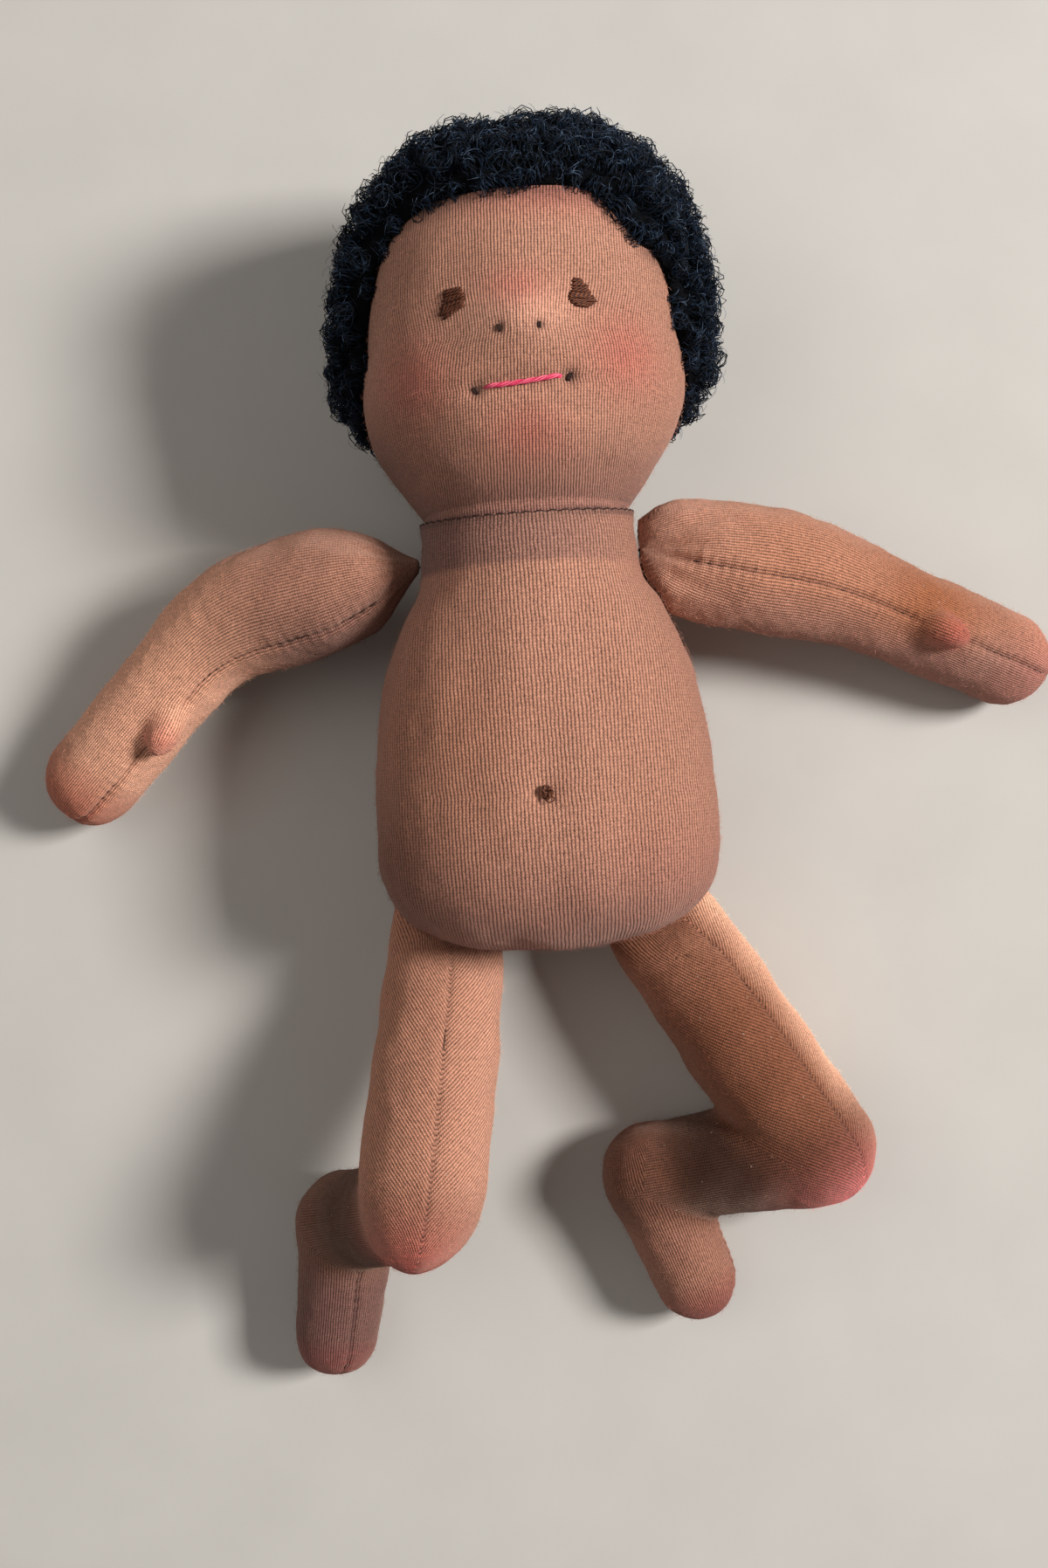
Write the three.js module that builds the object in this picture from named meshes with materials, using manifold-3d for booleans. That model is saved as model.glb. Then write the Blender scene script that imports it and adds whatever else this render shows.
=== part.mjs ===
// A small stuffed baby doll of knit cloth and wool, lying on its back.
// Millimetres. +Z is up out of the doll's front, +Y runs to the crown, +X is the doll's left side.
// The origin is the middle of the flat of its back, on the surface that it lies on.
import * as THREE from 'three';
import { mergeVertices } from 'three/addons/utils/BufferGeometryUtils.js';
import Module from 'manifold-3d';

const wasm = await Module();
wasm.setup();

// Cloth, gaps and threads
const clothWall = 1.2;
const clearance = 0.3;
const restCut = 0.5;
const overrun = 2;
const seamDepth = 0.9;
const sewingRadius = 0.35;
const rootHole = 1;
const knotRadius = 0.9;
const weldDistance = 1e-4;
const sliverSize = 0.04;

// Torso: a pear from the neck band down to the rounded bottom
const bandTopY = 46;
const bandHeight = 8.4;
const bandRadius = 22.2;
const hemProud = 0.6;
const hemHeight = 2.4;
const neckHeight = 30.5;
const bellyLineY = -18;
const bottomY = -40.5;
const bellyHalfWidth = 35;
const bellyFront = 55;
const bellyPower = 2.3;
const bottomPower = 2.6;
const navelY = -8.5;
const navelKnot = 1.25;
const navelFloss = 0.42;
const scallopLength = 5;

// Head: a ball of wool under a knit skin, its neck tied off inside the torso's band
const neckRadius = 20.8;
const neckPlug = 9.4;
const neckValley = 2;
const tieDepth = 1.6;
const tieRadius = 0.6;
const tieFromEnd = 4;
const headWall = 2.2;
const headMiddleY = 79;
const crownY = 119.6;
const headHalfWidth = 31.6;
const headFront = 66.8;
const headBack = 6;
const crownPower = 2.45;
const headLean = 0.045;
const eyeLineY = 82;
const eyeLineCord = 0.5;
const eyeLineGroove = 1.5;

// Face
const faceMiddle = 0.6;
const noseY = 78.6;
const noseRise = 4.4;
const noseHalfWidth = 6.4;
const noseHalfHeight = 4.6;
const eyeY = 82.4;
const eyeSpread = 12;
const eyeHollow = 1.1;
const eyeHollowSize = 7;
const mouthY = 67.1;
const mouthHalfWidth = 7.8;
const mouthCrease = 0.8;
const mouthCreaseHeight = 2.2;
const mouthTilt = 0.04;
const mouthStitchHalfSpread = 8.8;
const nostrilY = 76.6;
const nostrilSpread = 3.7;
const satinStrands = 8;
const satinRadius = 0.5;
const eyePadHeight = 5.4;
const eyePadWidth = 5.6;
const mouthFlossRadius = 0.45;
const cornerStitchLength = 2;
const nostrilStitchLength = 2.2;
const faceStitchRadius = 0.42;

// Hair: a crocheted cap of curly mohair
const hairDepth = 7.8;
const hairCrownDepth = 4.2;
const hairLump = 1.1;
const napeY = 60;
const hairlineY = 105;
const hairlineDrop = 6;
const hairGap = 0.8;
const lockAngle = 0.8;
const lockSpread = 0.17;

// Arms
const shoulderY = 39.3;
const armLength = 97;
const upperArm = 42;
const pressedIn = 4;
const armRadius = 13.2;
const handReach = 9.5;
const handPower = 2.2;
const elbowArc = 24;
const thumbLength = 5.4;
const thumbRadius = 3.5;
const thumbPlaceShare = 0.79;

// Legs
const hipSpread = 22.6;
const hipHeight = 16.5;
const thighLength = 56.5;
const shinLength = 35.3;
const footLength = 24.6;
const thighRadius = 12.9;
const shinRadius = 12.1;
const ankleRadius = 10.4;
const toeRadius = 8.8;
const kneeReach = 12.6;
const heelReach = 10.8;

// Tables of shares: place along the piece, then size there
const torsoWidthShares = [[0, 1], [0.14, 0.99], [0.32, 0.935], [0.52, 0.81], [0.68, 0.615], [0.84, 0.3],
  [0.94, 0.05], [1, 0]];
const torsoFrontShares = [[0, 1], [0.5, 0.95], [0.8, 0.5], [1, 0]];
const torsoBackShares = [[0, 1], [0.52, 1], [0.68, 0.87], [0.84, 0.5], [0.94, 0.15], [1, 0]];
const headWidthShares = [[0, 0], [0.13, 0.28], [0.27, 0.57], [0.4, 0.8], [0.55, 0.97], [0.7, 1.05],
  [0.84, 1.06], [1, 1]];
const headFrontShares = [[0, 0], [0.13, 0.36], [0.27, 0.65], [0.4, 0.83], [0.55, 0.94], [0.7, 0.98],
  [1, 1]];
const headBackShares = [[0, 0], [0.27, 0.4], [0.6, 0.9], [1, 1]];
const armRadiusShares = [[0, 0.17], [0.03, 0.38], [0.062, 0.58], [0.104, 0.78], [0.146, 0.9], [0.21, 0.985],
  [0.27, 1], [0.36, 0.97], [0.46, 0.88], [0.58, 0.8], [0.73, 0.78], [1, 0.76]];
const thighRadiusShares = [[0, 0.14], [0.04, 0.33], [0.09, 0.53], [0.16, 0.75], [0.24, 0.89], [0.35, 0.97],
  [0.6, 1], [0.85, 1], [1, 0.96]];
const hairlineShares = [[0, 1], [0.22, 0.99], [0.32, 0.93], [0.39, 0.83], [0.44, 0.7], [0.48, 0.5],
  [0.52, 0.34], [0.58, 0.2], [0.7, 0.1], [1, 0]];

const sidesFine = 28;
const sidesCoarse = 14;
const sidesLimb = 12;
const sidesLimbCoarse = 8;

const COLORS = {
  torsoKnit: 0x9a6350,
  headKnit: 0xa5694f,
  limbKnit: 0x9c6046,
  wool: 0xe8dfcd,
  mohair: 0x151b28,
  brownFloss: 0x4a2a1c,
  pinkFloss: 0xd9566a,
  sewing: 0x3a2019,
  tie: 0xd8cdb8,
};

function material(color, roughness = 0.9) {
  return new THREE.MeshStandardMaterial({ color, roughness, metalness: 0 });
}

const mix = THREE.MathUtils.lerp;
const radians = THREE.MathUtils.degToRad;

// A smooth curve through a table of shares that never swings past its points.
function along(table, place) {
  const last = table.length - 1;
  const at = THREE.MathUtils.clamp(place, table[0][0], table[last][0]);
  let k = 0;
  while (k < last - 1 && at > table[k + 1][0]) {
    k += 1;
  }
  const slope = (i) => (table[i + 1][1] - table[i][1]) / (table[i + 1][0] - table[i][0]);
  const tangent = (i) => {
    if (i === 0 || i === last) {
      return i === 0 ? slope(0) : slope(last - 1);
    }
    const product = slope(i - 1) * slope(i);
    return product <= 0 ? 0 : (2 * product) / (slope(i - 1) + slope(i));
  };
  const width = table[k + 1][0] - table[k][0];
  const t = (at - table[k][0]) / width;
  return table[k][1] * (1 + 2 * t) * (1 - t) ** 2 + tangent(k) * width * t * (1 - t) ** 2
    + table[k + 1][1] * t * t * (3 - 2 * t) - tangent(k + 1) * width * t * t * (1 - t);
}

const signedPower = (value, power) => Math.sign(value) * Math.abs(value) ** power;

// Rings of points become one closed surface. A ring of one point closes an end.
function loft(rings, closed = false) {
  const positions = [];
  const starts = [];
  rings.forEach((ring) => {
    starts.push(positions.length / 3);
    ring.forEach((point) => positions.push(point.x, point.y, point.z));
  });
  const faces = [];
  const pairs = closed ? rings.length : rings.length - 1;
  for (let r = 0; r < pairs; r += 1) {
    const next = (r + 1) % rings.length;
    const count = Math.max(rings[r].length, rings[next].length);
    for (let i = 0; i < count; i += 1) {
      const j = (i + 1) % count;
      const lower = rings[r].length === 1 ? [starts[r], starts[r]] : [starts[r] + i, starts[r] + j];
      const upper = rings[next].length === 1
        ? [starts[next], starts[next]]
        : [starts[next] + i, starts[next] + j];
      if (lower[0] !== lower[1]) {
        faces.push(lower[0], lower[1], upper[1]);
      }
      if (upper[0] !== upper[1]) {
        faces.push(lower[0], upper[1], upper[0]);
      }
    }
  }
  const geometry = new THREE.BufferGeometry();
  geometry.setAttribute('position', new THREE.Float32BufferAttribute(positions, 3));
  geometry.setIndex(faces);
  return facingOut(geometry);
}

// Turns every face round when the surface holds a negative volume.
function facingOut(geometry) {
  const position = geometry.attributes.position;
  const index = geometry.index;
  const [a, b, c] = [new THREE.Vector3(), new THREE.Vector3(), new THREE.Vector3()];
  let volume = 0;
  for (let i = 0; i < index.count; i += 3) {
    a.fromBufferAttribute(position, index.getX(i));
    b.fromBufferAttribute(position, index.getX(i + 1));
    c.fromBufferAttribute(position, index.getX(i + 2));
    volume += a.dot(b.cross(c));
  }
  if (volume < 0) {
    for (let i = 0; i < index.count; i += 3) {
      const first = index.getX(i);
      index.setX(i, index.getX(i + 2));
      index.setX(i + 2, first);
    }
  }
  geometry.computeVertexNormals();
  return geometry;
}

function toSolid(geometry) {
  const bare = geometry.clone();
  bare.deleteAttribute('normal');
  bare.deleteAttribute('uv');
  const merged = mergeVertices(bare, weldDistance);
  return new wasm.Manifold(new wasm.Mesh({
    numProp: 3,
    vertProperties: Float32Array.from(merged.attributes.position.array),
    triVerts: Uint32Array.from(merged.index.array),
  }));
}

function toGeometry(solid) {
  const mesh = solid.simplify(sliverSize).getMesh();
  const geometry = new THREE.BufferGeometry();
  geometry.setAttribute('position', new THREE.Float32BufferAttribute(mesh.vertProperties, 3));
  geometry.setIndex(Array.from(mesh.triVerts));
  geometry.computeVertexNormals();
  return geometry;
}

function joined(...geometries) {
  return toGeometry(geometries.map(toSolid).reduce((whole, piece) => whole.add(piece)));
}

function cutAway(geometry, ...tools) {
  return toGeometry(tools.map(toSolid).reduce((whole, tool) => whole.subtract(tool), toSolid(geometry)));
}

// Cuts a piece flat where it lies on the surface. The placement carries the piece to the doll's frame.
function restedFlat(geometry, placement = new THREE.Matrix4()) {
  geometry.computeBoundingSphere();
  const reach = 2 * (geometry.boundingSphere.radius + geometry.boundingSphere.center.length());
  const slab = new THREE.BoxGeometry(2 * reach, 2 * reach, reach);
  const centre = new THREE.Vector3().setFromMatrixPosition(placement);
  slab.translate(centre.x, centre.y, -reach / 2);
  slab.applyMatrix4(placement.clone().invert());
  return cutAway(geometry, slab);
}

// Angles from the front, closer together there by the share of crowding.
function frontAngles(count, crowding = 0) {
  return Array.from({ length: count }, (_, i) => {
    const even = (2 * Math.PI * i) / count;
    return Math.PI / 2 + even - crowding * Math.sin(even);
  });
}

// One ring of the trunk or head, across Y: a rounded outline whose power makes it squarer.
function crossRing(section, angles) {
  const middle = (section.front + section.back) / 2;
  const half = (section.front - section.back) / 2;
  return angles.map((angle) => new THREE.Vector3(
    section.x + section.halfWidth * signedPower(Math.cos(angle), 2 / section.power),
    section.y,
    middle + half * signedPower(Math.sin(angle), 2 / section.power),
  ));
}

function inset(section, amount) {
  return {
    ...section,
    halfWidth: section.halfWidth - amount,
    front: section.front - amount,
    back: section.back + amount,
  };
}

function steps(count, from = 0, to = 1) {
  return Array.from({ length: count }, (_, i) => mix(from, to, i / (count - 1)));
}

// The rounded end of a body, as shares of its reach and of its girth.
function endShares(count, power) {
  return steps(count + 1).slice(1, -1).map((share) => {
    const angle = (share * Math.PI) / 2;
    return { reach: Math.sin(angle) ** (2 / power), girth: Math.cos(angle) ** (2 / power) };
  });
}

// Torso

const bandBottomY = bandTopY - bandHeight;
const neckEndY = bandTopY - neckPlug;
const neckTopY = bandTopY + neckValley;
const tieY = neckEndY + tieFromEnd;
const tieHalf = tieRadius + clearance;
const bandHole = (neckRadius + clearance) / Math.cos(Math.PI / sidesFine);

function torsoSection(place) {
  const round = along(torsoWidthShares, place);
  return {
    x: 0,
    y: mix(bellyLineY, bandBottomY, place),
    halfWidth: mix(bandRadius, bellyHalfWidth, round),
    front: mix(neckHeight + bandRadius, bellyFront, along(torsoFrontShares, place)),
    back: mix(neckHeight - bandRadius, -restCut, along(torsoBackShares, place)),
    power: mix(2, bellyPower, round),
  };
}

function torsoBottom(depth, angles, count) {
  const widest = inset(torsoSection(0), depth);
  const middle = (widest.front + widest.back) / 2;
  const reach = bellyLineY - bottomY - depth;
  const rings = endShares(count, bottomPower).map(({ reach: out, girth }) => crossRing({
    ...widest,
    y: bellyLineY - reach * out,
    halfWidth: widest.halfWidth * girth,
    front: mix(middle, widest.front, girth),
    back: mix(middle, widest.back, girth),
  }, angles));
  return [...rings, [new THREE.Vector3(0, bellyLineY - reach, middle)]].reverse();
}

function neckRing(y, radius, angles) {
  const [front, back] = [neckHeight + radius, neckHeight - radius];
  return crossRing({ x: 0, y, halfWidth: radius, front, back, power: 2 }, angles);
}

function torsoOuter(angles, rows) {
  const hemRadius = bandRadius + hemProud;
  return [
    ...torsoBottom(0, angles, 6),
    ...steps(rows).map((place) => crossRing(torsoSection(place), angles)),
    neckRing(bandTopY - hemHeight, bandRadius, angles),
    neckRing(bandTopY - hemHeight / 2, hemRadius, angles),
    neckRing(bandTopY, mix(bandRadius, hemRadius, 0.5), angles),
    [new THREE.Vector3(0, bandTopY, neckHeight)],
  ];
}

const torsoRows = steps(6, 0, 0.96);

function torsoInner(depth, angles) {
  const rows = torsoRows.map((place) => crossRing(inset(torsoSection(place), depth), angles));
  return [...torsoBottom(depth, angles, 5), ...rows];
}

function torsoSkin() {
  const angles = frontAngles(sidesFine);
  const inner = frontAngles(sidesCoarse);
  const belly = loft([
    ...torsoInner(clothWall, inner),
    crossRing(inset(torsoSection(1), clothWall), inner),
    [new THREE.Vector3(0, bandBottomY, neckHeight)],
  ]);
  const mouth = loft([
    [new THREE.Vector3(0, neckEndY - 2 * clearance, neckHeight)],
    neckRing(neckEndY - 2 * clearance, bandHole, angles),
    neckRing(bandTopY + overrun, bandHole, angles),
    [new THREE.Vector3(0, bandTopY + overrun, neckHeight)],
  ]);
  const outer = restedFlat(loft(torsoOuter(angles, 8)));
  return cutAway(outer, belly, mouth);
}

function torsoStuffing() {
  const rows = torsoInner(clothWall + clearance, frontAngles(sidesCoarse));
  const topY = rows[rows.length - 1][0].y;
  return loft([...rows, [new THREE.Vector3(0, topY, neckHeight)]]);
}

// The stitches that draw the head's skin and the torso's hem together, in small scallops.
function neckSeamThread() {
  const ringRadius = neckRadius + clearance + sewingRadius + clearance / 2;
  const scallops = Math.round((2 * Math.PI * ringRadius) / scallopLength);
  const perScallop = 3;
  const rise = neckValley - 2 * clearance - 2 * sewingRadius;
  const count = scallops * perScallop;
  const rings = Array.from({ length: count }, (_, i) => {
    const turn = (2 * Math.PI * i) / count;
    const arch = Math.sin((Math.PI * (i % perScallop)) / perScallop);
    const y = bandTopY + clearance + sewingRadius + rise * arch;
    return Array.from({ length: 5 }, (__, k) => {
      const around = (2 * Math.PI * k) / 5;
      const radius = ringRadius + sewingRadius * Math.cos(around);
      return new THREE.Vector3(radius * Math.cos(turn), y + sewingRadius * Math.sin(around),
        neckHeight + radius * Math.sin(turn));
    });
  });
  return loft(rings, true);
}

// Head

function headSection(y) {
  const place = (y - neckTopY) / (headMiddleY - neckTopY);
  return {
    x: headLean * (y - neckTopY),
    y,
    halfWidth: mix(neckRadius, headHalfWidth, along(headWidthShares, place)),
    front: mix(neckHeight + neckRadius, headFront, along(headFrontShares, place)),
    back: mix(neckHeight - neckRadius, headBack, along(headBackShares, place)),
    power: 2,
  };
}

function crownSection({ reach: out, girth }, depth) {
  const widest = inset(headSection(headMiddleY), depth);
  const middle = (widest.front + widest.back) / 2;
  const y = headMiddleY + (crownY - headMiddleY - depth) * out;
  return {
    ...widest,
    x: headLean * (y - neckTopY),
    y,
    halfWidth: widest.halfWidth * girth,
    front: mix(middle, widest.front, girth),
    back: mix(middle, widest.back, girth),
  };
}

function crownRings(depth, angles, count) {
  const rings = endShares(count, crownPower).map((share) => crossRing(crownSection(share, depth), angles));
  const top = crownSection({ reach: 1, girth: 0 }, depth);
  return [...rings, [new THREE.Vector3(top.x, top.y, (top.front + top.back) / 2)]];
}

// The neck as it goes down into the band, drawn in where the string ties it.
function neckPlugRings(endY, depth, angles) {
  return [
    neckRing(endY, neckRadius - depth, angles),
    neckRing(tieY - tieHalf - tieDepth, neckRadius - depth, angles),
    neckRing(tieY - tieHalf, neckRadius - depth - tieDepth, angles),
    neckRing(tieY + tieHalf, neckRadius - depth - tieDepth, angles),
    neckRing(tieY + tieHalf + tieDepth, neckRadius - depth, angles),
    neckRing(neckTopY, neckRadius - depth, angles),
  ];
}

const bell = (distance, size) => Math.exp(-((distance / size) ** 2));

// How far the face stands out from the plain ball at a place: the nose, less the eye hollows and the
// mouth's crease.
function faceRelief(across, y) {
  const nose = noseRise * bell(across, noseHalfWidth) * bell(y - noseY, noseHalfHeight);
  const hollows = [-1, 1].map((side) => (
    bell(across - side * eyeSpread, eyeHollowSize) * bell(y - eyeY, eyeHollowSize)));
  const lip = mouthY + mouthTilt * across;
  const crease = mouthCrease * bell(across, mouthHalfWidth * 1.25) * bell(y - lip, mouthCreaseHeight);
  return nose - eyeHollow * (hollows[0] + hollows[1]) - crease;
}

function withFace(ring) {
  return ring.map((point) => {
    const section = headSection(point.y);
    const middle = (section.front + section.back) / 2;
    const forward = Math.max(0, (point.z - middle) / (section.front - middle));
    const proud = forward * faceRelief(point.x - faceMiddle, point.y);
    return new THREE.Vector3(point.x, point.y, point.z + proud);
  });
}

function headSkin() {
  const angles = frontAngles(sidesFine, 0.42);
  const inner = frontAngles(sidesCoarse);
  const chin = steps(11).slice(1).map((place) => mix(neckTopY, headMiddleY, place ** 0.85));
  const brow = endShares(9, crownPower).map((share) => crossRing(crownSection(share, 0), angles));
  const outer = loft([
    [new THREE.Vector3(0, neckEndY, neckHeight)],
    ...neckPlugRings(neckEndY, 0, angles),
    ...chin.map((y) => withFace(crossRing(headSection(y), angles))),
    ...brow.map(withFace),
    crownRings(0, angles, 2).pop(),
  ]);
  const cavity = loft([
    [new THREE.Vector3(0, neckEndY - overrun, neckHeight)],
    ...headInner(neckEndY - overrun, headWall, inner, 0),
  ]);
  return cutAway(outer, cavity);
}

const headRows = [0.14, 0.28, 0.44, 0.64, 0.85];

// The inside of the head from its neck end to the crown, drawn in along the eye line by a depth.
function headInner(endY, depth, angles, drawn) {
  const half = eyeLineCord + clearance;
  const body = headRows.map((place) => (
    crossRing(inset(headSection(mix(neckTopY, headMiddleY, place)), depth), angles)));
  const eyeLine = [[-2, 0], [-1, drawn], [1, drawn], [2, 0]].map(([off, deep]) => (
    crossRing(eyeLineSection(depth + deep, off * half), angles)));
  const crown = crownRings(depth, angles, 5).filter((ring) => ring[0].y > eyeLineY + 3 * half);
  return [...neckPlugRings(endY, depth, angles), ...body, ...eyeLine, ...crown];
}

// The wool ball with its neck roll, and the groove that the eye line's string draws round it.
function headCore() {
  const endY = neckEndY + clearance;
  return loft([
    [new THREE.Vector3(0, endY, neckHeight)],
    ...headInner(endY, headWall + 1.4 * clearance, frontAngles(sidesCoarse), eyeLineGroove),
  ]);
}

// The head's own outline just above its middle, where the eye line runs.
function eyeLineSection(depth, off) {
  const y = eyeLineY + off;
  const out = (y - headMiddleY) / (crownY - headMiddleY - depth);
  const girth = (1 - Math.max(0, out) ** crownPower) ** (1 / crownPower);
  return { ...crownSection({ reach: 0, girth }, depth), x: headLean * (y - neckTopY), y };
}

// A string tied round a soft body: a round section carried on the body's own outline.
function tieRing(path, radius, sides) {
  const rings = path.map(({ centre, out }) => Array.from({ length: sides }, (_, k) => {
    const around = (2 * Math.PI * k) / sides;
    const point = centre.clone().addScaledVector(out, radius * Math.cos(around));
    point.y += radius * Math.sin(around);
    return point;
  }));
  return loft(rings, true);
}

function ringPath(ring) {
  const middle = ring.reduce((sum, point) => sum.add(point), new THREE.Vector3()).divideScalar(ring.length);
  return ring.map((centre) => ({ centre, out: centre.clone().sub(middle).setY(0).normalize() }));
}

function eyeLineString() {
  const depth = headWall + clearance + eyeLineGroove - eyeLineCord - clearance;
  return tieRing(ringPath(crossRing(eyeLineSection(depth, 0), frontAngles(sidesCoarse))), eyeLineCord, 5);
}

function neckString() {
  const radius = neckRadius - tieDepth + clearance + tieRadius;
  return tieRing(ringPath(neckRing(tieY, radius, frontAngles(sidesFine))), tieRadius, 5);
}

// Where the skin's surface is in front, at a place on the face.
function faceHeight(x, y) {
  const section = y <= headMiddleY ? headSection(y) : eyeLineSection(0, y - eyeLineY);
  const middle = (section.front + section.back) / 2;
  const across = x - section.x;
  const round = Math.sqrt(Math.max(0, 1 - (across / section.halfWidth) ** 2));
  const plain = middle + (section.front - middle) * round;
  return plain + round * faceRelief(x - faceMiddle, y);
}

// A path that lies on the face, a little proud of the skin.
class FacePath extends THREE.Curve {
  constructor(route, proud) {
    super();
    this.route = route;
    this.proud = proud;
  }

  getPoint(share, target = new THREE.Vector3()) {
    const { x, y, lift = 0, aside = 0 } = this.route(share);
    return target.set(x, y + aside, faceHeight(x, y) + this.proud + lift);
  }
}

function roundShape(radius, sides) {
  const points = Array.from({ length: sides }, (_, k) => {
    const angle = (2 * Math.PI * k) / sides;
    return new THREE.Vector2(radius * Math.cos(angle), radius * Math.sin(angle));
  });
  return new THREE.Shape(points);
}

function threadAlong(path, radius, sides, count) {
  return new THREE.ExtrudeGeometry(roundShape(radius, sides), { steps: count, extrudePath: path });
}

// One satin strand: a spindle that lies along the face.
function satinStrand(from, to, radius, proud) {
  const rings = [0.12, 0.4, 0.75, 0.93].map((share) => {
    const x = mix(from.x, to.x, share);
    const y = mix(from.y, to.y, share);
    const thick = radius * Math.sin(Math.PI * share) ** 0.4;
    const z = faceHeight(x, y) + proud + radius;
    const across = new THREE.Vector3(from.y - to.y, to.x - from.x, 0).normalize();
    return Array.from({ length: 5 }, (_, k) => {
      const around = (2 * Math.PI * k) / 5;
      const point = new THREE.Vector3(x, y, z + thick * Math.sin(around));
      return point.addScaledVector(across, thick * Math.cos(around));
    });
  });
  const end = (spot) => [new THREE.Vector3(spot.x, spot.y, faceHeight(spot.x, spot.y) + proud + radius)];
  return loft([end(from), ...rings, end(to)]);
}

// An eye: rows of satin stitch that fill a small rounded triangle, narrow at one end.
function eyePad(side, lean) {
  const centreX = faceMiddle + side * eyeSpread;
  const strands = steps(satinStrands, -1, 1).map((share) => {
    const y = eyeY + (share * eyePadHeight) / 2;
    const half = (eyePadWidth / 2) * along(eyeHalfShares, share);
    const middle = centreX + lean * share * eyePadWidth * 0.2;
    const slope = side * satinRadius * 0.8;
    const from = { x: middle - half, y: y - slope };
    const to = { x: middle + half * 0.9, y: y + slope };
    return satinStrand(from, to, satinRadius, clearance * 1.8);
  });
  return joined(...strands);
}

const eyeHalfShares = [[-1, 0.55], [-0.7, 0.85], [-0.3, 1], [0.1, 0.9], [0.5, 0.66], [1, 0.3]];

// The mouth: two strands of floss twisted together, a touch higher at one end.
function mouthThread() {
  const twist = 5 * Math.PI;
  const strand = mouthFlossRadius * 0.92;
  const build = (phase) => threadAlong(new FacePath((share) => {
    const across = mix(-mouthHalfWidth, mouthHalfWidth, share);
    const angle = twist * share + phase;
    const y = mouthY + mouthTilt * across;
    return {
      x: faceMiddle + across,
      y,
      aside: strand * 0.85 * Math.cos(angle),
      lift: strand * 0.85 * Math.sin(angle),
    };
  }, 2 * mouthFlossRadius + clearance * 1.5), mouthFlossRadius, 5, 15);
  return joined(build(0), build(Math.PI));
}

// A short sunk stitch, as a small spindle.
function faceStitch(across, y, length, slant) {
  const x = faceMiddle + across;
  const half = length / 2;
  const from = { x: x - half * Math.cos(slant), y: y - half * Math.sin(slant) };
  const to = { x: x + half * Math.cos(slant), y: y + half * Math.sin(slant) };
  return satinStrand(from, to, faceStitchRadius, clearance * 1.5);
}

// Hair

// The lower edge of the cap at an angle from the front: high over the brow, low at the nape.
function hairEdgeY(fromFront) {
  const place = Math.abs(fromFront) / Math.PI;
  const share = along(hairlineShares, place);
  const lock = hairlineDrop * bell(fromFront + lockAngle, lockSpread);
  return mix(napeY, hairlineY, share) - lock;
}

// How far down the head a height is, from 0 at the crown to 1 at the middle, and on below it.
function downTo(y) {
  if (y < headMiddleY) {
    return 1 + (headMiddleY - y) / headQuarter;
  }
  const out = Math.min(1, (y - headMiddleY) / (crownY - headMiddleY));
  return Math.acos(out ** (crownPower / 2)) / (Math.PI / 2);
}

const headQuarter = (headHalfWidth * Math.PI) / 2;

// A place on the head, lifted off it: the angle round the head and a share of the way down to the
// cap's edge.
function hairPoint(angle, share, lift) {
  const fromFront = Math.atan2(-Math.cos(angle), Math.sin(angle));
  const down = share * downTo(hairEdgeY(fromFront));
  const turn = (Math.min(1, down) * Math.PI) / 2;
  const out = Math.cos(turn) ** (2 / crownPower);
  const girth = Math.sin(turn) ** (2 / crownPower);
  const y = headMiddleY - Math.max(0, down - 1) * headQuarter;
  const skin = down < 1 ? crownSection({ reach: out, girth }, 0) : headSection(y);
  const middle = (skin.front + skin.back) / 2;
  const normal = new THREE.Vector3(
    Math.cos(angle) * Math.sin(turn),
    Math.cos(turn) - 0.3 * Math.max(0, down - 1),
    Math.sin(angle) * Math.sin(turn),
  ).normalize();
  const point = new THREE.Vector3(
    skin.x + skin.halfWidth * Math.cos(angle),
    skin.y,
    middle + (skin.front - middle) * Math.sin(angle),
  );
  return point.addScaledVector(normal, lift);
}

function hairLift(angle, share) {
  const rounded = share < 0.85 ? 1 : Math.sqrt(Math.max(0, 1 - ((share - 0.85) / 0.15) ** 2));
  const back = Math.max(0, -Math.sin(angle)) * Math.min(1, 2 * share);
  const full = mix(hairCrownDepth, hairDepth, Math.abs(Math.cos(angle)) * Math.min(1, 1.6 * share));
  const depth = mix(full, headBack + restCut, back ** 2);
  const wave = Math.sin(9.5 * angle + 3 * share) * Math.sin(8 * share * Math.PI + 2 * angle);
  const lumps = Math.abs(wave);
  return hairGap + (depth - hairLump * (1 - lumps) * (1 - back) - hairGap) * rounded;
}

function wigCap() {
  const angles = frontAngles(32);
  const ringAt = (share, liftAt) => angles.map((angle) => hairPoint(angle, share, liftAt(angle, share)));
  const outer = [...steps(10, 0, 0.85).slice(1), 0.92, 0.98, 1].map((share) => ringAt(share, hairLift));
  const lining = steps(11, 1, 0).slice(1, -1).map((share) => ringAt(share, () => hairGap));
  const cap = loft([
    [hairPoint(0, 0, hairLift(0, 0))],
    ...outer,
    ...lining,
    [hairPoint(0, 0, hairGap)],
  ]);
  return restedFlat(cap);
}

// Limbs

// A path in a plane: straight, an arc, then straight on. Gives the centre and the heading at a length
// along it.
function bentPath(first, arc, bend) {
  const straight = first - arc / 2;
  const radius = arc / bend;
  return (s) => {
    const turned = THREE.MathUtils.clamp((s - straight) / arc, 0, 1) * bend;
    const before = Math.min(s, straight);
    const after = Math.max(0, s - straight - arc);
    return {
      x: before + radius * Math.sin(turned) + after * Math.cos(turned),
      y: -radius * (1 - Math.cos(turned)) - after * Math.sin(turned),
      heading: -turned,
    };
  };
}

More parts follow.
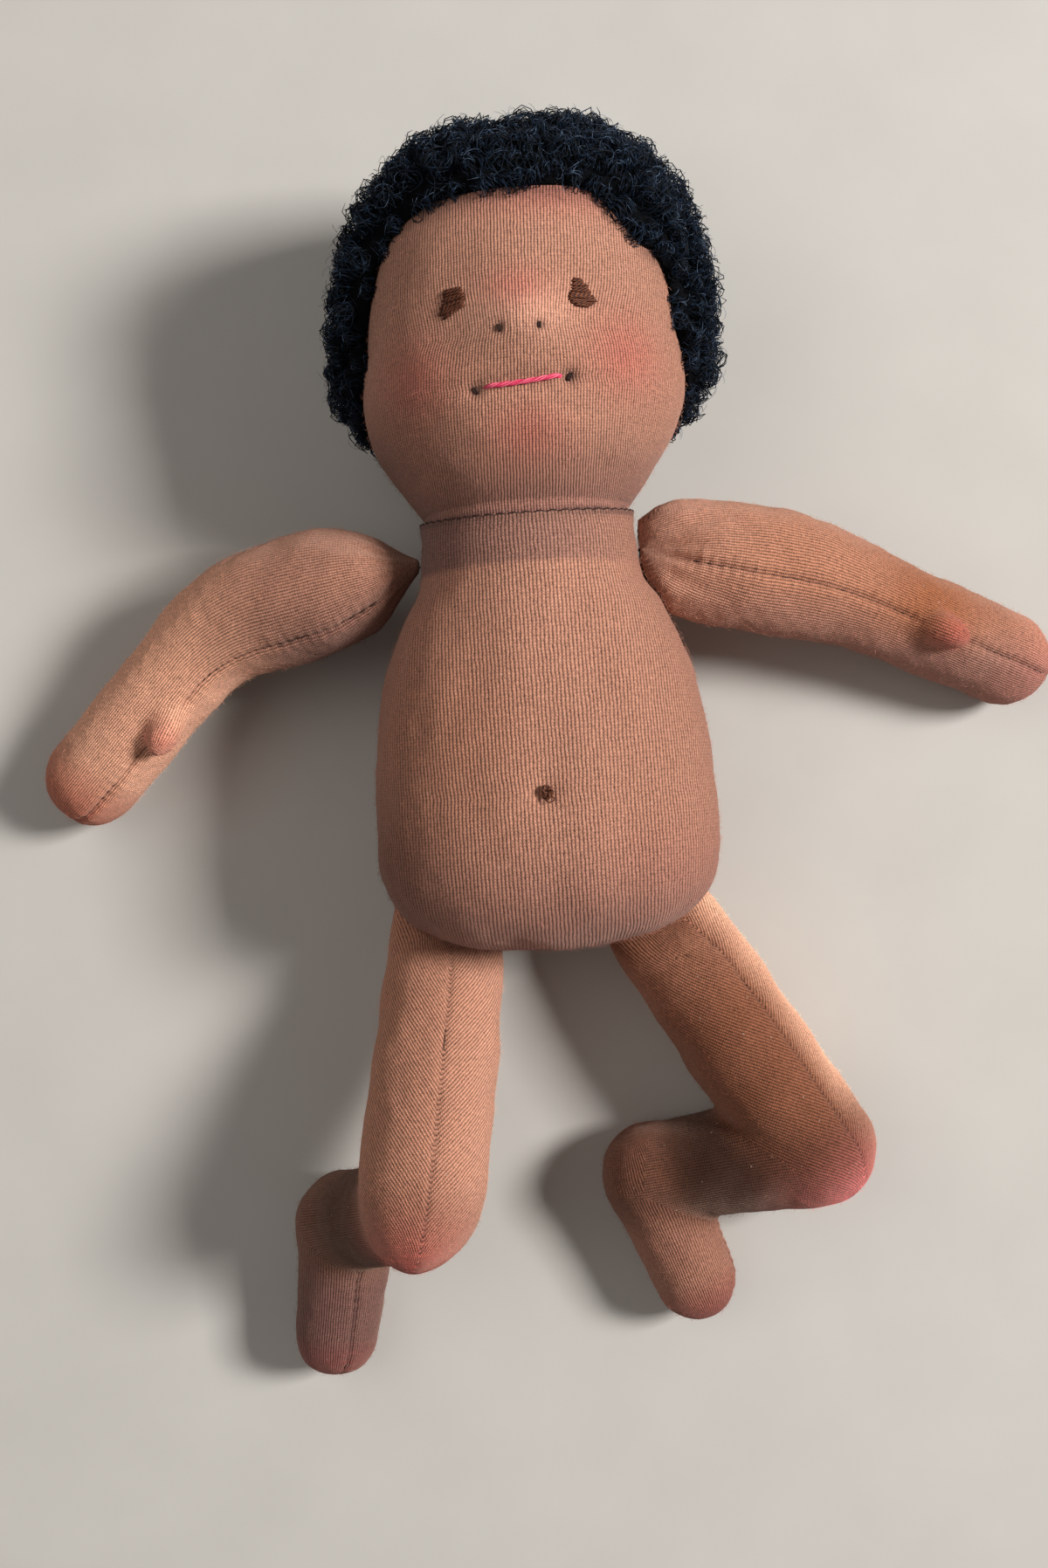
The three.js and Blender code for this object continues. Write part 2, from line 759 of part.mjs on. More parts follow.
// A ring round a limb. The first point lies on the seam, drawn in by its depth.
function limbRing(centre, along3, up, radius, sides, turn, groove, phase = 0) {
  const across = new THREE.Vector3().crossVectors(along3, up);
  return Array.from({ length: sides }, (_, k) => {
    const angle = turn + (2 * Math.PI * (k + phase)) / sides;
    const size = radius - (k === 0 ? groove : 0);
    const point = centre.clone().addScaledVector(up, size * Math.cos(angle));
    return point.addScaledVector(across, size * Math.sin(angle));
  });
}

function endCapped(radiusAt, length, reach, power) {
  return (s) => {
    const out = (s - (length - reach)) / reach;
    return radiusAt(s) * (out <= 0 ? 1 : (1 - Math.min(1, out) ** power) ** (1 / power));
  };
}

// Arms

const armBody = (arm, s) => armRadius * along(armRadiusShares, s / arm.length);
const armProfile = (arm, s) => endCapped((at) => armBody(arm, at), arm.length, handReach, handPower)(s);
const shoulderStandoff = clearance + knotRadius;

function armFrame(arm, s) {
  const { x, y, heading } = bentPath(arm.upper, elbowArc, arm.elbowBend)(s);
  return {
    centre: new THREE.Vector3(arm.side * x, y, 0),
    forward: new THREE.Vector3(arm.side * Math.cos(heading), Math.sin(heading), 0),
    up: new THREE.Vector3(0, 0, 1),
  };
}

function armRings(arm, places, sides, depth, groove, phase) {
  return places.map((s) => {
    const { centre, forward, up } = armFrame(arm, s);
    const radius = armProfile(arm, s) - depth;
    const drawn = groove * Math.min(1, radius / armRadius);
    return limbRing(centre, forward, up, radius, sides, arm.seamTurn, drawn, phase);
  });
}

function armPlaces(arm, rows) {
  const [narrow, full] = [armRadiusShares.slice(1, 6), armRadiusShares[6][0] * arm.length];
  return [...narrow.map(([share]) => share * arm.length), ...steps(rows, full, arm.length - handReach)];
}

// The rounded end of an arm, from its last full ring to its tip, a depth under the skin.
function handRings(arm, count, sides, depth, groove, phase) {
  const start = arm.length - handReach;
  const full = armBody(arm, start) - depth;
  const rings = endShares(count, handPower).map(({ reach: out, girth }) => {
    const { centre, forward, up } = armFrame(arm, start + (handReach - depth) * out);
    return limbRing(centre, forward, up, full * girth, sides, arm.seamTurn, groove * girth, phase);
  });
  return [...rings, tipOf(arm, arm.length - depth)];
}

const tipOf = (arm, s) => [armFrame(arm, s).centre];

function thumb(arm) {
  const place = thumbPlaceShare * arm.length;
  const { centre, forward, up } = armFrame(arm, place);
  const across = new THREE.Vector3().crossVectors(forward, up);
  const turn = arm.seamTurn;
  const out = up.clone().multiplyScalar(Math.cos(turn)).addScaledVector(across, Math.sin(turn));
  const lean = out.clone().multiplyScalar(0.62).addScaledVector(forward, 0.78).normalize();
  const ball = new THREE.SphereGeometry(1, 12, 8);
  ball.scale(thumbRadius, thumbLength, thumbRadius);
  ball.applyQuaternion(new THREE.Quaternion().setFromUnitVectors(new THREE.Vector3(0, 1, 0), lean));
  const at = centre.addScaledVector(out, armProfile(arm, place) - thumbRadius * 0.35);
  return ball.translate(at.x, at.y, at.z);
}

function armSkin(arm, placement) {
  const outer = loft([
    tipOf(arm, 0),
    ...armRings(arm, [0, ...armPlaces(arm, 7)], sidesLimb, 0, seamDepth, 0),
    ...handRings(arm, 4, sidesLimb, 0, seamDepth * (armBody(arm, arm.length) / armRadius), 0),
  ]);
  const cavity = loft([
    tipOf(arm, -overrun),
    rootRing(armFrame(arm, 0), -overrun, sidesLimbCoarse),
    rootRing(armFrame(arm, 0), clothWall, sidesLimbCoarse),
    ...armRings(arm, armPlaces(arm, 7).slice(1), sidesLimbCoarse, clothWall, 0, 0.5),
    ...handRings(arm, 3, sidesLimbCoarse, clothWall, 0, 0.5),
  ]);
  const skin = cutAway(joined(outer, thumb(arm)), cavity);
  return restedFlat(skin, placement);
}

function rootRing({ centre, forward, up }, s, sides) {
  return limbRing(centre.clone().addScaledVector(forward, s), forward, up, rootHole, sides, 0, 0);
}

function armStuffing(arm) {
  const depth = clothWall + clearance * 1.5;
  const places = armPlaces(arm, 7).slice(1);
  return loft([
    tipOf(arm, places[0]),
    ...armRings(arm, places, sidesLimbCoarse, depth, 0, 0.5),
    ...handRings(arm, 3, sidesLimbCoarse, depth, 0, 0.5),
  ]);
}

// A seam's thread lies in the valley that it draws, a little proud of its floor.
class SeamPath extends THREE.Curve {
  constructor(pointAt) {
    super();
    this.pointAt = pointAt;
  }

  getPoint(share, target = new THREE.Vector3()) {
    return target.copy(this.pointAt(share));
  }
}

const seamLift = clearance * 1.8 + sewingRadius;

function armSeamThread(arm) {
  const path = new SeamPath((share) => {
    const end = thumbPlaceShare * arm.length - 1.3 * thumbRadius;
    const s = mix(armRadiusShares[2][0] * arm.length, end, share);
    const { centre, forward, up } = armFrame(arm, s);
    const radius = armProfile(arm, s);
    const drawn = seamDepth * Math.min(1, radius / armRadius);
    return limbRing(centre, forward, up, radius - drawn + seamLift, 1, arm.seamTurn, 0)[0];
  });
  return threadAlong(path, sewingRadius, 5, 24);
}

// Legs

const thighBody = (s) => thighRadius * along(thighRadiusShares, s / thighLength);
const thighEnd = thighLength + kneeReach;
const thighProfile = endCapped((s) => thighBody(Math.min(s, thighLength)), thighEnd, kneeReach, 2);

// A straight part of the leg with both ends rounded, along a heading in the leg's own plane.
function segmentRings(segment, sides, depth, rows, ends, groove, phase) {
  const { from, forward, up, length, startRadius, endRadius, startReach, endReach, turn = 0 } = segment;
  const ringAt = (s, radius) => {
    const centre = from.clone().addScaledVector(forward, s);
    const drawn = groove * Math.min(1, radius / startRadius);
    return limbRing(centre, forward, up, radius, sides, turn, drawn, phase);
  };
  const start = endShares(ends, 2).map(({ reach: out, girth }) => (
    ringAt(-(startReach - depth) * out, (startRadius - depth) * girth))).reverse();
  const end = endShares(ends, 2).map(({ reach: out, girth }) => (
    ringAt(length + (endReach - depth) * out, (endRadius - depth) * girth)));
  return loft([
    [from.clone().addScaledVector(forward, -(startReach - depth))],
    ...start,
    ...steps(rows).map((share) => ringAt(share * length, mix(startRadius, endRadius, share) - depth)),
    ...end,
    [from.clone().addScaledVector(forward, length + endReach - depth)],
  ]);
}

// The leg's own frame: X along the thigh, Y to its front, Z across. The knee and ankle fold in X and Y.
function legParts(leg) {
  const knee = new THREE.Vector3(thighLength, 0, 0);
  const shinWay = new THREE.Vector3(-Math.cos(leg.kneeFold), -Math.sin(leg.kneeFold), 0);
  const ankle = knee.clone().addScaledVector(shinWay, shinLength);
  const flatWay = new THREE.Vector3(Math.cos(leg.footHeading), Math.sin(leg.footHeading), 0);
  const footWay = flatWay.clone().multiplyScalar(Math.cos(leg.footTurn));
  footWay.z = Math.sin(leg.footTurn);
  const footUp = new THREE.Vector3(-Math.sin(leg.footHeading), Math.cos(leg.footHeading), 0);
  return {
    shin: {
      from: knee,
      forward: shinWay,
      up: new THREE.Vector3(-shinWay.y, shinWay.x, 0).negate(),
      length: shinLength,
      startRadius: shinRadius,
      endRadius: ankleRadius,
      startReach: shinRadius,
      endReach: ankleRadius,
    },
    foot: {
      from: ankle,
      forward: footWay,
      up: footUp,
      length: footLength,
      startRadius: ankleRadius,
      endRadius: toeRadius,
      startReach: heelReach,
      endReach: toeRadius,
    },
  };
}

const thighFrame = (s) => ({
  centre: new THREE.Vector3(s, 0, 0),
  forward: new THREE.Vector3(1, 0, 0),
  up: new THREE.Vector3(0, 1, 0),
});

function thighRings(leg, places, sides, depth, groove, phase) {
  return places.map((s) => {
    const { centre, forward, up } = thighFrame(s);
    const radius = thighProfile(s) - depth;
    const drawn = groove * Math.min(1, radius / thighRadius);
    return limbRing(centre, forward, up, radius, sides, leg.seamTurn, drawn, phase);
  });
}

function thighPlaces(rows) {
  return [...thighRadiusShares.slice(1, 5).map(([share]) => share * thighLength),
    ...steps(rows, thighRadiusShares[5][0] * thighLength, thighLength)];
}

// The knee's rounded end, a depth under the skin.
function kneeRings(leg, count, sides, depth, groove, phase) {
  const full = thighBody(thighLength) - depth;
  const rings = endShares(count, 2).map(({ reach: out, girth }) => {
    const { centre, forward, up } = thighFrame(thighLength + (kneeReach - depth) * out);
    return limbRing(centre, forward, up, full * girth, sides, leg.seamTurn, groove * girth, phase);
  });
  return [...rings, [new THREE.Vector3(thighEnd - depth, 0, 0)]];
}

function legSkin(leg, placement) {
  const { shin, foot } = legParts(leg);
  const thigh = loft([
    [new THREE.Vector3()],
    ...thighRings(leg, [0, ...thighPlaces(3)], sidesLimb, 0, seamDepth, 0),
    ...kneeRings(leg, 4, sidesLimb, 0, seamDepth, 0),
  ]);
  const thighHole = loft([
    [new THREE.Vector3(-overrun, 0, 0)],
    rootRing(thighFrame(0), -overrun, sidesLimbCoarse),
    rootRing(thighFrame(0), clothWall, sidesLimbCoarse),
    ...thighRings(leg, thighPlaces(3).slice(1), sidesLimbCoarse, clothWall, 0, 0.5),
    ...kneeRings(leg, 3, sidesLimbCoarse, clothWall, 0, 0.5),
  ]);
  const outer = joined(
    thigh,
    segmentRings(shin, sidesLimb, 0, 2, 4, 0, 0),
    segmentRings(foot, sidesLimb, 0, 3, 4, seamDepth, 0),
  );
  const hole = joined(
    thighHole,
    segmentRings(shin, sidesLimbCoarse, clothWall, 2, 3, 0, 0.5),
    segmentRings(foot, sidesLimbCoarse, clothWall, 2, 3, 0, 0.5),
  );
  return restedFlat(cutAway(outer, hole), placement);
}

function legStuffing(leg) {
  const { shin, foot } = legParts(leg);
  const depth = clothWall + clearance * 1.5;
  const places = thighPlaces(3).slice(1);
  const thigh = loft([
    [new THREE.Vector3(places[0], 0, 0)],
    ...thighRings(leg, places, sidesLimbCoarse, depth, 0, 0.5),
    ...kneeRings(leg, 3, sidesLimbCoarse, depth, 0, 0.5),
  ]);
  return joined(
    thigh,
    segmentRings(shin, sidesLimbCoarse, depth, 2, 3, 0, 0.5),
    segmentRings(foot, sidesLimbCoarse, depth, 2, 3, 0, 0.5),
  );
}

function thighSeamThread(leg) {
  const path = new SeamPath((share) => {
    const s = mix(thighRadiusShares[2][0], 0.94, share) * thighLength;
    const { centre, forward, up } = thighFrame(s);
    const radius = thighProfile(s);
    const drawn = seamDepth * Math.min(1, radius / thighRadius);
    return limbRing(centre, forward, up, radius - drawn + seamLift, 1, leg.seamTurn, 0)[0];
  });
  return threadAlong(path, sewingRadius, 5, 16);
}

function footSeamThread(leg) {
  const { foot } = legParts(leg);
  const path = new SeamPath((share) => {
    const place = mix(0.6, 1, share);
    const radius = mix(foot.startRadius, foot.endRadius, place);
    const drawn = seamDepth * Math.min(1, radius / foot.startRadius);
    const centre = foot.from.clone().addScaledVector(foot.forward, place * foot.length);
    return limbRing(centre, foot.forward, foot.up, radius - drawn + seamLift, 1, 0, 0)[0];
  });
  return threadAlong(path, sewingRadius, 5, 6);
}

// Poses: how each limb lies, worked out from what touches the surface.

function armPose(arm) {
  const palm = arm.length - handReach;
  const hand = armFrame(arm, palm).centre;
  const drop = neckHeight - (armBody(arm, palm) - restCut);
  const pitch = Math.asin(drop / Math.abs(hand.x));
  const group = new THREE.Group();
  group.position.set(arm.side * (bandRadius + shoulderStandoff), shoulderY, neckHeight);
  group.rotation.set(0, arm.side * pitch, -arm.side * arm.lowered, 'ZYX');
  return group;
}

// Lifts the thigh until the heel lies on the surface, then turns the foot until the toe does.
function posedLeg(spec) {
  const hip = hipPoint(spec.side);
  const heel = ankleRadius - restCut;
  const toe = toeRadius - restCut;
  const upward = thighLength - shinLength * Math.cos(spec.kneeFold);
  const downward = shinLength * Math.sin(spec.kneeFold) * Math.cos(spec.roll);
  const lift = Math.atan2(downward, upward) + Math.asin((heel - hip.z) / Math.hypot(upward, downward));
  const rise = Math.sin(lift);
  const frontRise = Math.cos(spec.roll) * Math.cos(lift);
  const sideRise = Math.sin(spec.roll) * Math.cos(lift);
  const wanted = (toe - heel) / footLength;
  const leg = { ...spec, lift, hip };
  if (spec.footHeading === undefined) {
    const aim = Math.atan2(frontRise, rise);
    const inPlane = (wanted - Math.sin(spec.footTurn) * sideRise) / Math.cos(spec.footTurn);
    leg.footHeading = aim - Math.acos(inPlane / Math.hypot(rise, frontRise));
  } else {
    const inPlane = rise * Math.cos(spec.footHeading) + frontRise * Math.sin(spec.footHeading);
    leg.footTurn = Math.asin((wanted - inPlane) / sideRise);
  }
  return leg;
}

function hipPoint(side) {
  const power = bellyPower;
  const widest = torsoSection(0);
  const middle = (widest.front + widest.back) / 2;
  const half = (widest.front - widest.back) / 2;
  const across = (hipSpread / bellyHalfWidth) ** power;
  const down = ((middle - hipHeight) / half) ** power;
  const girth = (across + down) ** (1 / power);
  const out = (1 - girth ** bottomPower) ** (1 / bottomPower);
  const y = bellyLineY - (bellyLineY - bottomY) * out;
  return new THREE.Vector3(side * hipSpread, y - shoulderStandoff * 1.15, hipHeight);
}

function legPose(leg) {
  const along3 = new THREE.Vector3(leg.side * Math.sin(leg.splay), -Math.cos(leg.splay), 0)
    .multiplyScalar(Math.cos(leg.lift));
  along3.z = Math.sin(leg.lift);
  const up = new THREE.Vector3(0, 0, 1).addScaledVector(along3, -along3.z).normalize();
  const across = new THREE.Vector3().crossVectors(along3, up);
  const front = up.clone().multiplyScalar(Math.cos(leg.roll)).addScaledVector(across, -Math.sin(leg.roll));
  const side = new THREE.Vector3().crossVectors(along3, front);
  const group = new THREE.Group();
  group.position.copy(leg.hip);
  group.quaternion.setFromRotationMatrix(new THREE.Matrix4().makeBasis(along3, front, side));
  return group;
}

const arms = [
  {
    name: 'right',
    side: -1,
    pressed: 0,
    lowered: radians(9.5),
    elbowBend: radians(33.5),
    seamTurn: radians(-46),
  },
  {
    name: 'left',
    side: 1,
    pressed: pressedIn,
    lowered: radians(11.5),
    elbowBend: radians(12.5),
    seamTurn: radians(11),
  },
].map((arm) => ({ ...arm, length: armLength - arm.pressed, upper: upperArm - arm.pressed }));

const legs = [
  {
    name: 'right',
    side: -1,
    splay: radians(9),
    roll: radians(28),
    kneeFold: radians(88),
    footTurn: radians(-12),
    seamTurn: radians(19),
  },
  {
    name: 'left',
    side: 1,
    splay: radians(30.3),
    roll: radians(78),
    kneeFold: radians(69),
    footHeading: radians(-12.5),
    seamTurn: radians(43),
  },
].map(posedLeg);

const doll = new THREE.Group();

function addPiece(parent, name, geometry, color, roughness) {
  const mesh = new THREE.Mesh(geometry, material(color, roughness));
  mesh.name = name;
  parent.add(mesh);
  return mesh;
}

function addTorso() {
  addPiece(doll, 'torso_skin', torsoSkin(), COLORS.torsoKnit);
  addPiece(doll, 'torso_stuffing', torsoStuffing(), COLORS.wool);
  addPiece(doll, 'neck_seam_thread', neckSeamThread(), COLORS.sewing);
  const knot = new THREE.TorusKnotGeometry(navelKnot, navelFloss, 28, 5, 2, 3);
  const mesh = addPiece(doll, 'navel_knot', knot, COLORS.brownFloss);
  const place = (navelY - bellyLineY) / (bandBottomY - bellyLineY);
  mesh.position.set(0, navelY, torsoSection(place).front + clearance + 2.2 * navelFloss);
}

function addHead() {
  addPiece(doll, 'head_skin', headSkin(), COLORS.headKnit);
  addPiece(doll, 'head_core', headCore(), COLORS.wool);
  addPiece(doll, 'neck_string', neckString(), COLORS.tie);
  addPiece(doll, 'eye_line_string', eyeLineString(), COLORS.tie);
  addPiece(doll, 'wig_cap', wigCap(), COLORS.mohair);
  addPiece(doll, 'eye_right', eyePad(-1, -1), COLORS.brownFloss);
  addPiece(doll, 'eye_left', eyePad(1, 0.2), COLORS.brownFloss);
  addPiece(doll, 'mouth_thread', mouthThread(), COLORS.pinkFloss);
  [['right', -1], ['left', 1]].forEach(([name, side]) => {
    const nostril = faceStitch(side * nostrilSpread, nostrilY, nostrilStitchLength, side * 0.15);
    addPiece(doll, `nostril_stitch_${name}`, nostril, COLORS.sewing);
    const across = side * (mouthStitchHalfSpread + cornerStitchLength / 2);
    const corner = faceStitch(across, mouthY + mouthTilt * across, cornerStitchLength, side * 0.5);
    addPiece(doll, `mouth_corner_stitch_${name}`, corner, COLORS.sewing);
  });
}

function addKnot(parent, name, position) {
  const knot = new THREE.SphereGeometry(knotRadius, 8, 6);
  const mesh = addPiece(parent, name, knot, COLORS.sewing);
  mesh.position.copy(position);
}

function addArm(arm) {
  const group = armPose(arm);
  const start = rootGap(group, arm.side);
  group.updateMatrixWorld(true);
  addPiece(group, `arm_skin_${arm.name}`, armSkin(arm, group.matrixWorld), COLORS.limbKnit);
  addPiece(group, `arm_stuffing_${arm.name}`, armStuffing(arm), COLORS.wool);
  addPiece(group, `arm_seam_thread_${arm.name}`, armSeamThread(arm), COLORS.sewing);
  doll.add(group);
  addKnot(doll, `shoulder_thread_${arm.name}`, start);
}

// Leaves room for the knot between the body and the limb's gathered end. Returns the knot's centre.
function rootGap(group, side) {
  const pivot = group.position.clone();
  const way = new THREE.Vector3(side, 0, 0).applyQuaternion(group.quaternion);
  group.position.addScaledVector(way, shoulderStandoff);
  return pivot;
}

function addLeg(leg) {
  const group = legPose(leg);
  const start = rootGap(group, 1);
  group.updateMatrixWorld(true);
  addPiece(group, `leg_skin_${leg.name}`, legSkin(leg, group.matrixWorld), COLORS.limbKnit);
  addPiece(group, `leg_stuffing_${leg.name}`, legStuffing(leg), COLORS.wool);
  addPiece(group, `thigh_seam_thread_${leg.name}`, thighSeamThread(leg), COLORS.sewing);
  addPiece(group, `foot_seam_thread_${leg.name}`, footSeamThread(leg), COLORS.sewing);
  doll.add(group);
  addKnot(doll, `hip_thread_${leg.name}`, start);
}

addTorso();
addHead();
arms.forEach(addArm);
legs.forEach(addLeg);

export default doll;
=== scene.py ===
# %% [markdown]
# # A small stuffed baby doll
# The doll is knit cotton sewn over carded wool. It lies on its back with its knees bent.
# The frame holds the rigid solids that a physics engine uses. This lesson dresses them with the
# real cloth, floss and curls, each as a surface worked out with numpy.

# %% Load the frame
import math

import bpy
import numpy as np
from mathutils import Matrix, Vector


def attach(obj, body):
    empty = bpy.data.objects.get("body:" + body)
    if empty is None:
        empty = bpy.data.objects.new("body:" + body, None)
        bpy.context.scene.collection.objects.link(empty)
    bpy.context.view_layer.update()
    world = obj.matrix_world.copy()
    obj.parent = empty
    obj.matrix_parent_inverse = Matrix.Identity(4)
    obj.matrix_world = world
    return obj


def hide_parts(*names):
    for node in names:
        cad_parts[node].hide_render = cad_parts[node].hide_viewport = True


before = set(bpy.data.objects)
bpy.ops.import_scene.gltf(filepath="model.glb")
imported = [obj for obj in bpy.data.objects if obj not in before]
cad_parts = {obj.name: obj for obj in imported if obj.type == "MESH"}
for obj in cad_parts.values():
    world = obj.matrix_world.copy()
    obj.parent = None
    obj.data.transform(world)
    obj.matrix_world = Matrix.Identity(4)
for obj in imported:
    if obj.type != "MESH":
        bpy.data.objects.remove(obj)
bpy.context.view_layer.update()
MM = 0.001
TURN = 2 * np.pi
SIDES = {"right": -1, "left": 1}

# %% [markdown]
# ## Helpers for surfaces
# Every piece is a grid of points. One could sculpt them by hand, but a formula keeps left and
# right alike and lets the cloth's ribs be laid out in real millimetres.


# %% A smooth curve through a table of shares
def along(table, place):
    """Cubic pieces through the table's points, with slopes that never swing past them."""
    x, y = np.array(table, float).T
    gap = np.diff(x)
    slope = np.diff(y) / gap
    product, total = slope[:-1] * slope[1:], slope[:-1] + slope[1:]
    inner = np.where(product > 0, 2 * product / np.where(total == 0, 1, total), 0)
    tangent = np.concatenate([[slope[0]], inner, [slope[-1]]])
    at = np.clip(place, x[0], x[-1])
    k = np.clip(np.searchsorted(x, at) - 1, 0, len(x) - 2)
    t = (at - x[k]) / gap[k]
    rise = tangent[k] * gap[k] * t * (1 - t) ** 2 - tangent[k + 1] * gap[k] * t * t * (1 - t)
    return y[k] * (1 + 2 * t) * (1 - t) ** 2 + y[k + 1] * t * t * (3 - 2 * t) + rise


def mix(a, b, share):
    """The value a share of the way from a to b."""
    return a + (b - a) * share


print("a quarter of the way:", along([[0, 0], [0.5, 0.8], [1, 1]], 0.25).round(3))


# %% Fades, humps and lumps
def fade(value, start, size):
    """A share that grows from 0 at the start to 1 one size further on."""
    return np.clip((value - start) / size, 0, 1)


def bell(distance, size):
    """A smooth hump: one at the middle, falling away over the size."""
    return np.exp(-((distance / size) ** 2))


def signed_power(value, power):
    """The value raised to a power, with its sign kept."""
    return np.sign(value) * np.abs(value) ** power


def unit(vectors):
    """Vectors made one long."""
    return vectors / np.maximum(np.linalg.norm(vectors, axis=-1, keepdims=True), 1e-9)


def lumps(points, size, seed, waves=14):
    """Soft unevenness from -1 to 1: a sum of sine waves that run in random directions."""
    draw = np.random.default_rng(seed)
    ways = unit(draw.normal(size=(waves, 3))) * draw.uniform(0.6, 1.5, (waves, 1)) * TURN / size
    shift = draw.uniform(0, TURN, waves)
    return np.sin(points @ ways.T + shift).sum(-1) / math.sqrt(waves * 2)


def wool_lumps(points, *coats):
    """Unevenness of several sizes added up; each coat is its height, size and seed."""
    return sum(height * lumps(points, size, seed) for height, size, seed in coats)


print("a hump at its middle and one size off:", bell(np.array([0, 1.0]), 1).round(3))


# %% Put points and faces into a mesh
def make_piece(name, points, faces, corner_uv=None, tint=None):
    """Points in millimetres and groups of faces with the same corner count become one object.
    The faces are turned round as a whole when the signed volume comes out negative. The uv is the
    cloth's millimetres at each corner, and the tint a linear colour for each point."""
    points = np.asarray(points, float)
    volume = 0.0
    for group in faces:
        corners = points[group]
        for k in range(1, group.shape[1] - 1):
            spread = np.cross(corners[:, k], corners[:, k + 1])
            volume += np.einsum("ij,ij->", corners[:, 0], spread)
    if volume < 0:
        faces = [group[:, ::-1] for group in faces]
        corner_uv = corner_uv and [group[:, ::-1] for group in corner_uv]
    mesh = bpy.data.meshes.new(name)
    mesh.vertices.add(len(points))
    mesh.vertices.foreach_set("co", (points * MM).astype(np.float32).ravel())
    corners = np.concatenate([group.ravel() for group in faces])
    counts = np.concatenate([np.full(len(group), group.shape[1]) for group in faces])
    mesh.loops.add(len(corners))
    mesh.loops.foreach_set("vertex_index", corners.astype(np.int32))
    mesh.polygons.add(len(counts))
    starts = np.concatenate([[0], np.cumsum(counts)[:-1]])
    mesh.polygons.foreach_set("loop_start", starts.astype(np.int32))
    mesh.update(calc_edges=True)
    mesh.polygons.foreach_set("use_smooth", np.ones(len(counts), bool))
    if corner_uv is not None:
        layer = mesh.uv_layers.new(name="cloth")
        flat = np.concatenate([group.reshape(-1, 2) for group in corner_uv])
        layer.data.foreach_set("uv", (flat * MM).astype(np.float32).ravel())
    if tint is not None:
        rgba = np.ones((len(points), 4), np.float32)
        rgba[:, :3] = np.clip(tint, 0, 1)
        layer = mesh.attributes.new("tint", "FLOAT_COLOR", "POINT")
        layer.data.foreach_set("color", rgba.ravel())
    mesh.validate()
    piece = bpy.data.objects.new(name, mesh)
    bpy.context.scene.collection.objects.link(piece)
    return piece


def read_mesh(data, name, width=1, kind=np.float32):
    """One value of every vertex, corner or face of a mesh, as an array."""
    out = np.empty(len(data) * width, kind)
    data.foreach_get(name, out)
    return out.reshape(-1, width) if width > 1 else out


def dress(piece, material, body, slot, *replaced):
    """The piece gets its material, rides on its body and stands for solids. Its slot is not used.
    """
    piece.data.materials.append(material)
    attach(piece, body)
    if replaced:
        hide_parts(*replaced)
    return piece


# %% Stacks of rings
def capped_rings(rows):
    """Faces and points for a stack of rings (rows, columns, 3), closed by a point at each end."""
    count, columns = rows.shape[:2]
    points = np.concatenate([rows[0].mean(0)[None], rows.reshape(-1, 3), rows[-1].mean(0)[None]])
    i, j = np.meshgrid(np.arange(count - 1), np.arange(columns), indexing="ij")
    at = lambda row, column: 1 + row * columns + column % columns
    quads = np.stack([at(i, j), at(i, j + 1), at(i + 1, j + 1), at(i + 1, j)], -1).reshape(-1, 4)
    c = np.arange(columns)
    first = np.stack([0 * c, at(0, c + 1), at(0, c)], -1)
    last = np.stack([0 * c + len(points) - 1, at(count - 1, c), at(count - 1, c + 1)], -1)
    return points, [quads, np.concatenate([first, last])]


def ring_uv(around, down):
    """The cloth's own millimetres at each face corner, from grids (rows, columns + 1)."""
    grid = np.stack([around, down], -1)
    corners = [grid[:-1, :-1], grid[:-1, 1:], grid[1:, 1:], grid[1:, :-1]]
    ends = []
    for a, b in ((grid[0, 1:], grid[0, :-1]), (grid[-1, :-1], grid[-1, 1:])):
        ends.append(np.stack([(a + b) / 2, a, b], 1))
    return [np.stack(corners, 2).reshape(-1, 4, 2), np.concatenate(ends)]


few_rings = capped_rings(np.zeros((4, 8, 3)))[1]
print("faces of four rings of eight points:", [len(group) for group in few_rings])


# %% Many thin tubes at once
def tubes(paths, radii, sides, reference):
    """Tubes of a few sides along paths (tubes, steps, 3). Each ring stands square to the path,
    turned by a reference direction, and each end is closed by one flat face."""
    k, n = paths.shape[:2]
    way = unit(np.gradient(paths, axis=1))
    first = unit(np.cross(way, np.broadcast_to(reference, (k, 3))[:, None]))
    second = np.cross(way, first)
    angle = TURN * np.arange(sides)[:, None] / sides
    out = first[:, :, None] * np.cos(angle) + second[:, :, None] * np.sin(angle)
    radii = np.broadcast_to(radii, (k, n))[:, :, None, None]
    points = (paths[:, :, None] + radii * out).reshape(-1, 3)
    t, i, j = np.meshgrid(np.arange(k), np.arange(n - 1), np.arange(sides), indexing="ij")
    at = lambda tube, ring, side: (tube * n + ring) * sides + side % sides
    quads = np.stack([at(t, i, j), at(t, i + 1, j), at(t, i + 1, j + 1), at(t, i, j + 1)], -1)
    tube, side = np.meshgrid(np.arange(k), np.arange(sides), indexing="ij")
    caps = np.concatenate([at(tube, 0, side), at(tube, n - 1, -side)])
    step = np.linalg.norm(np.diff(paths, axis=1, prepend=paths[:, :1]), axis=2)
    length = np.cumsum(step, axis=1)
    ahead = np.stack([length[t, i], length[t, i + 1], length[t, i + 1], length[t, i]], -1)
    around = np.stack([j, j, j + 1, j + 1], -1) / sides
    cloth = np.stack([around, ahead], -1).reshape(-1, 4, 2)
    return points, [quads.reshape(-1, 4), caps], [cloth, np.zeros((len(caps), sides, 2))]


short_path = np.array([[[0, 0, 0], [0, 0, 1.0]]])
print("points of one short tube:", len(tubes(short_path, 1, 6, (1, 0, 0))[0]))
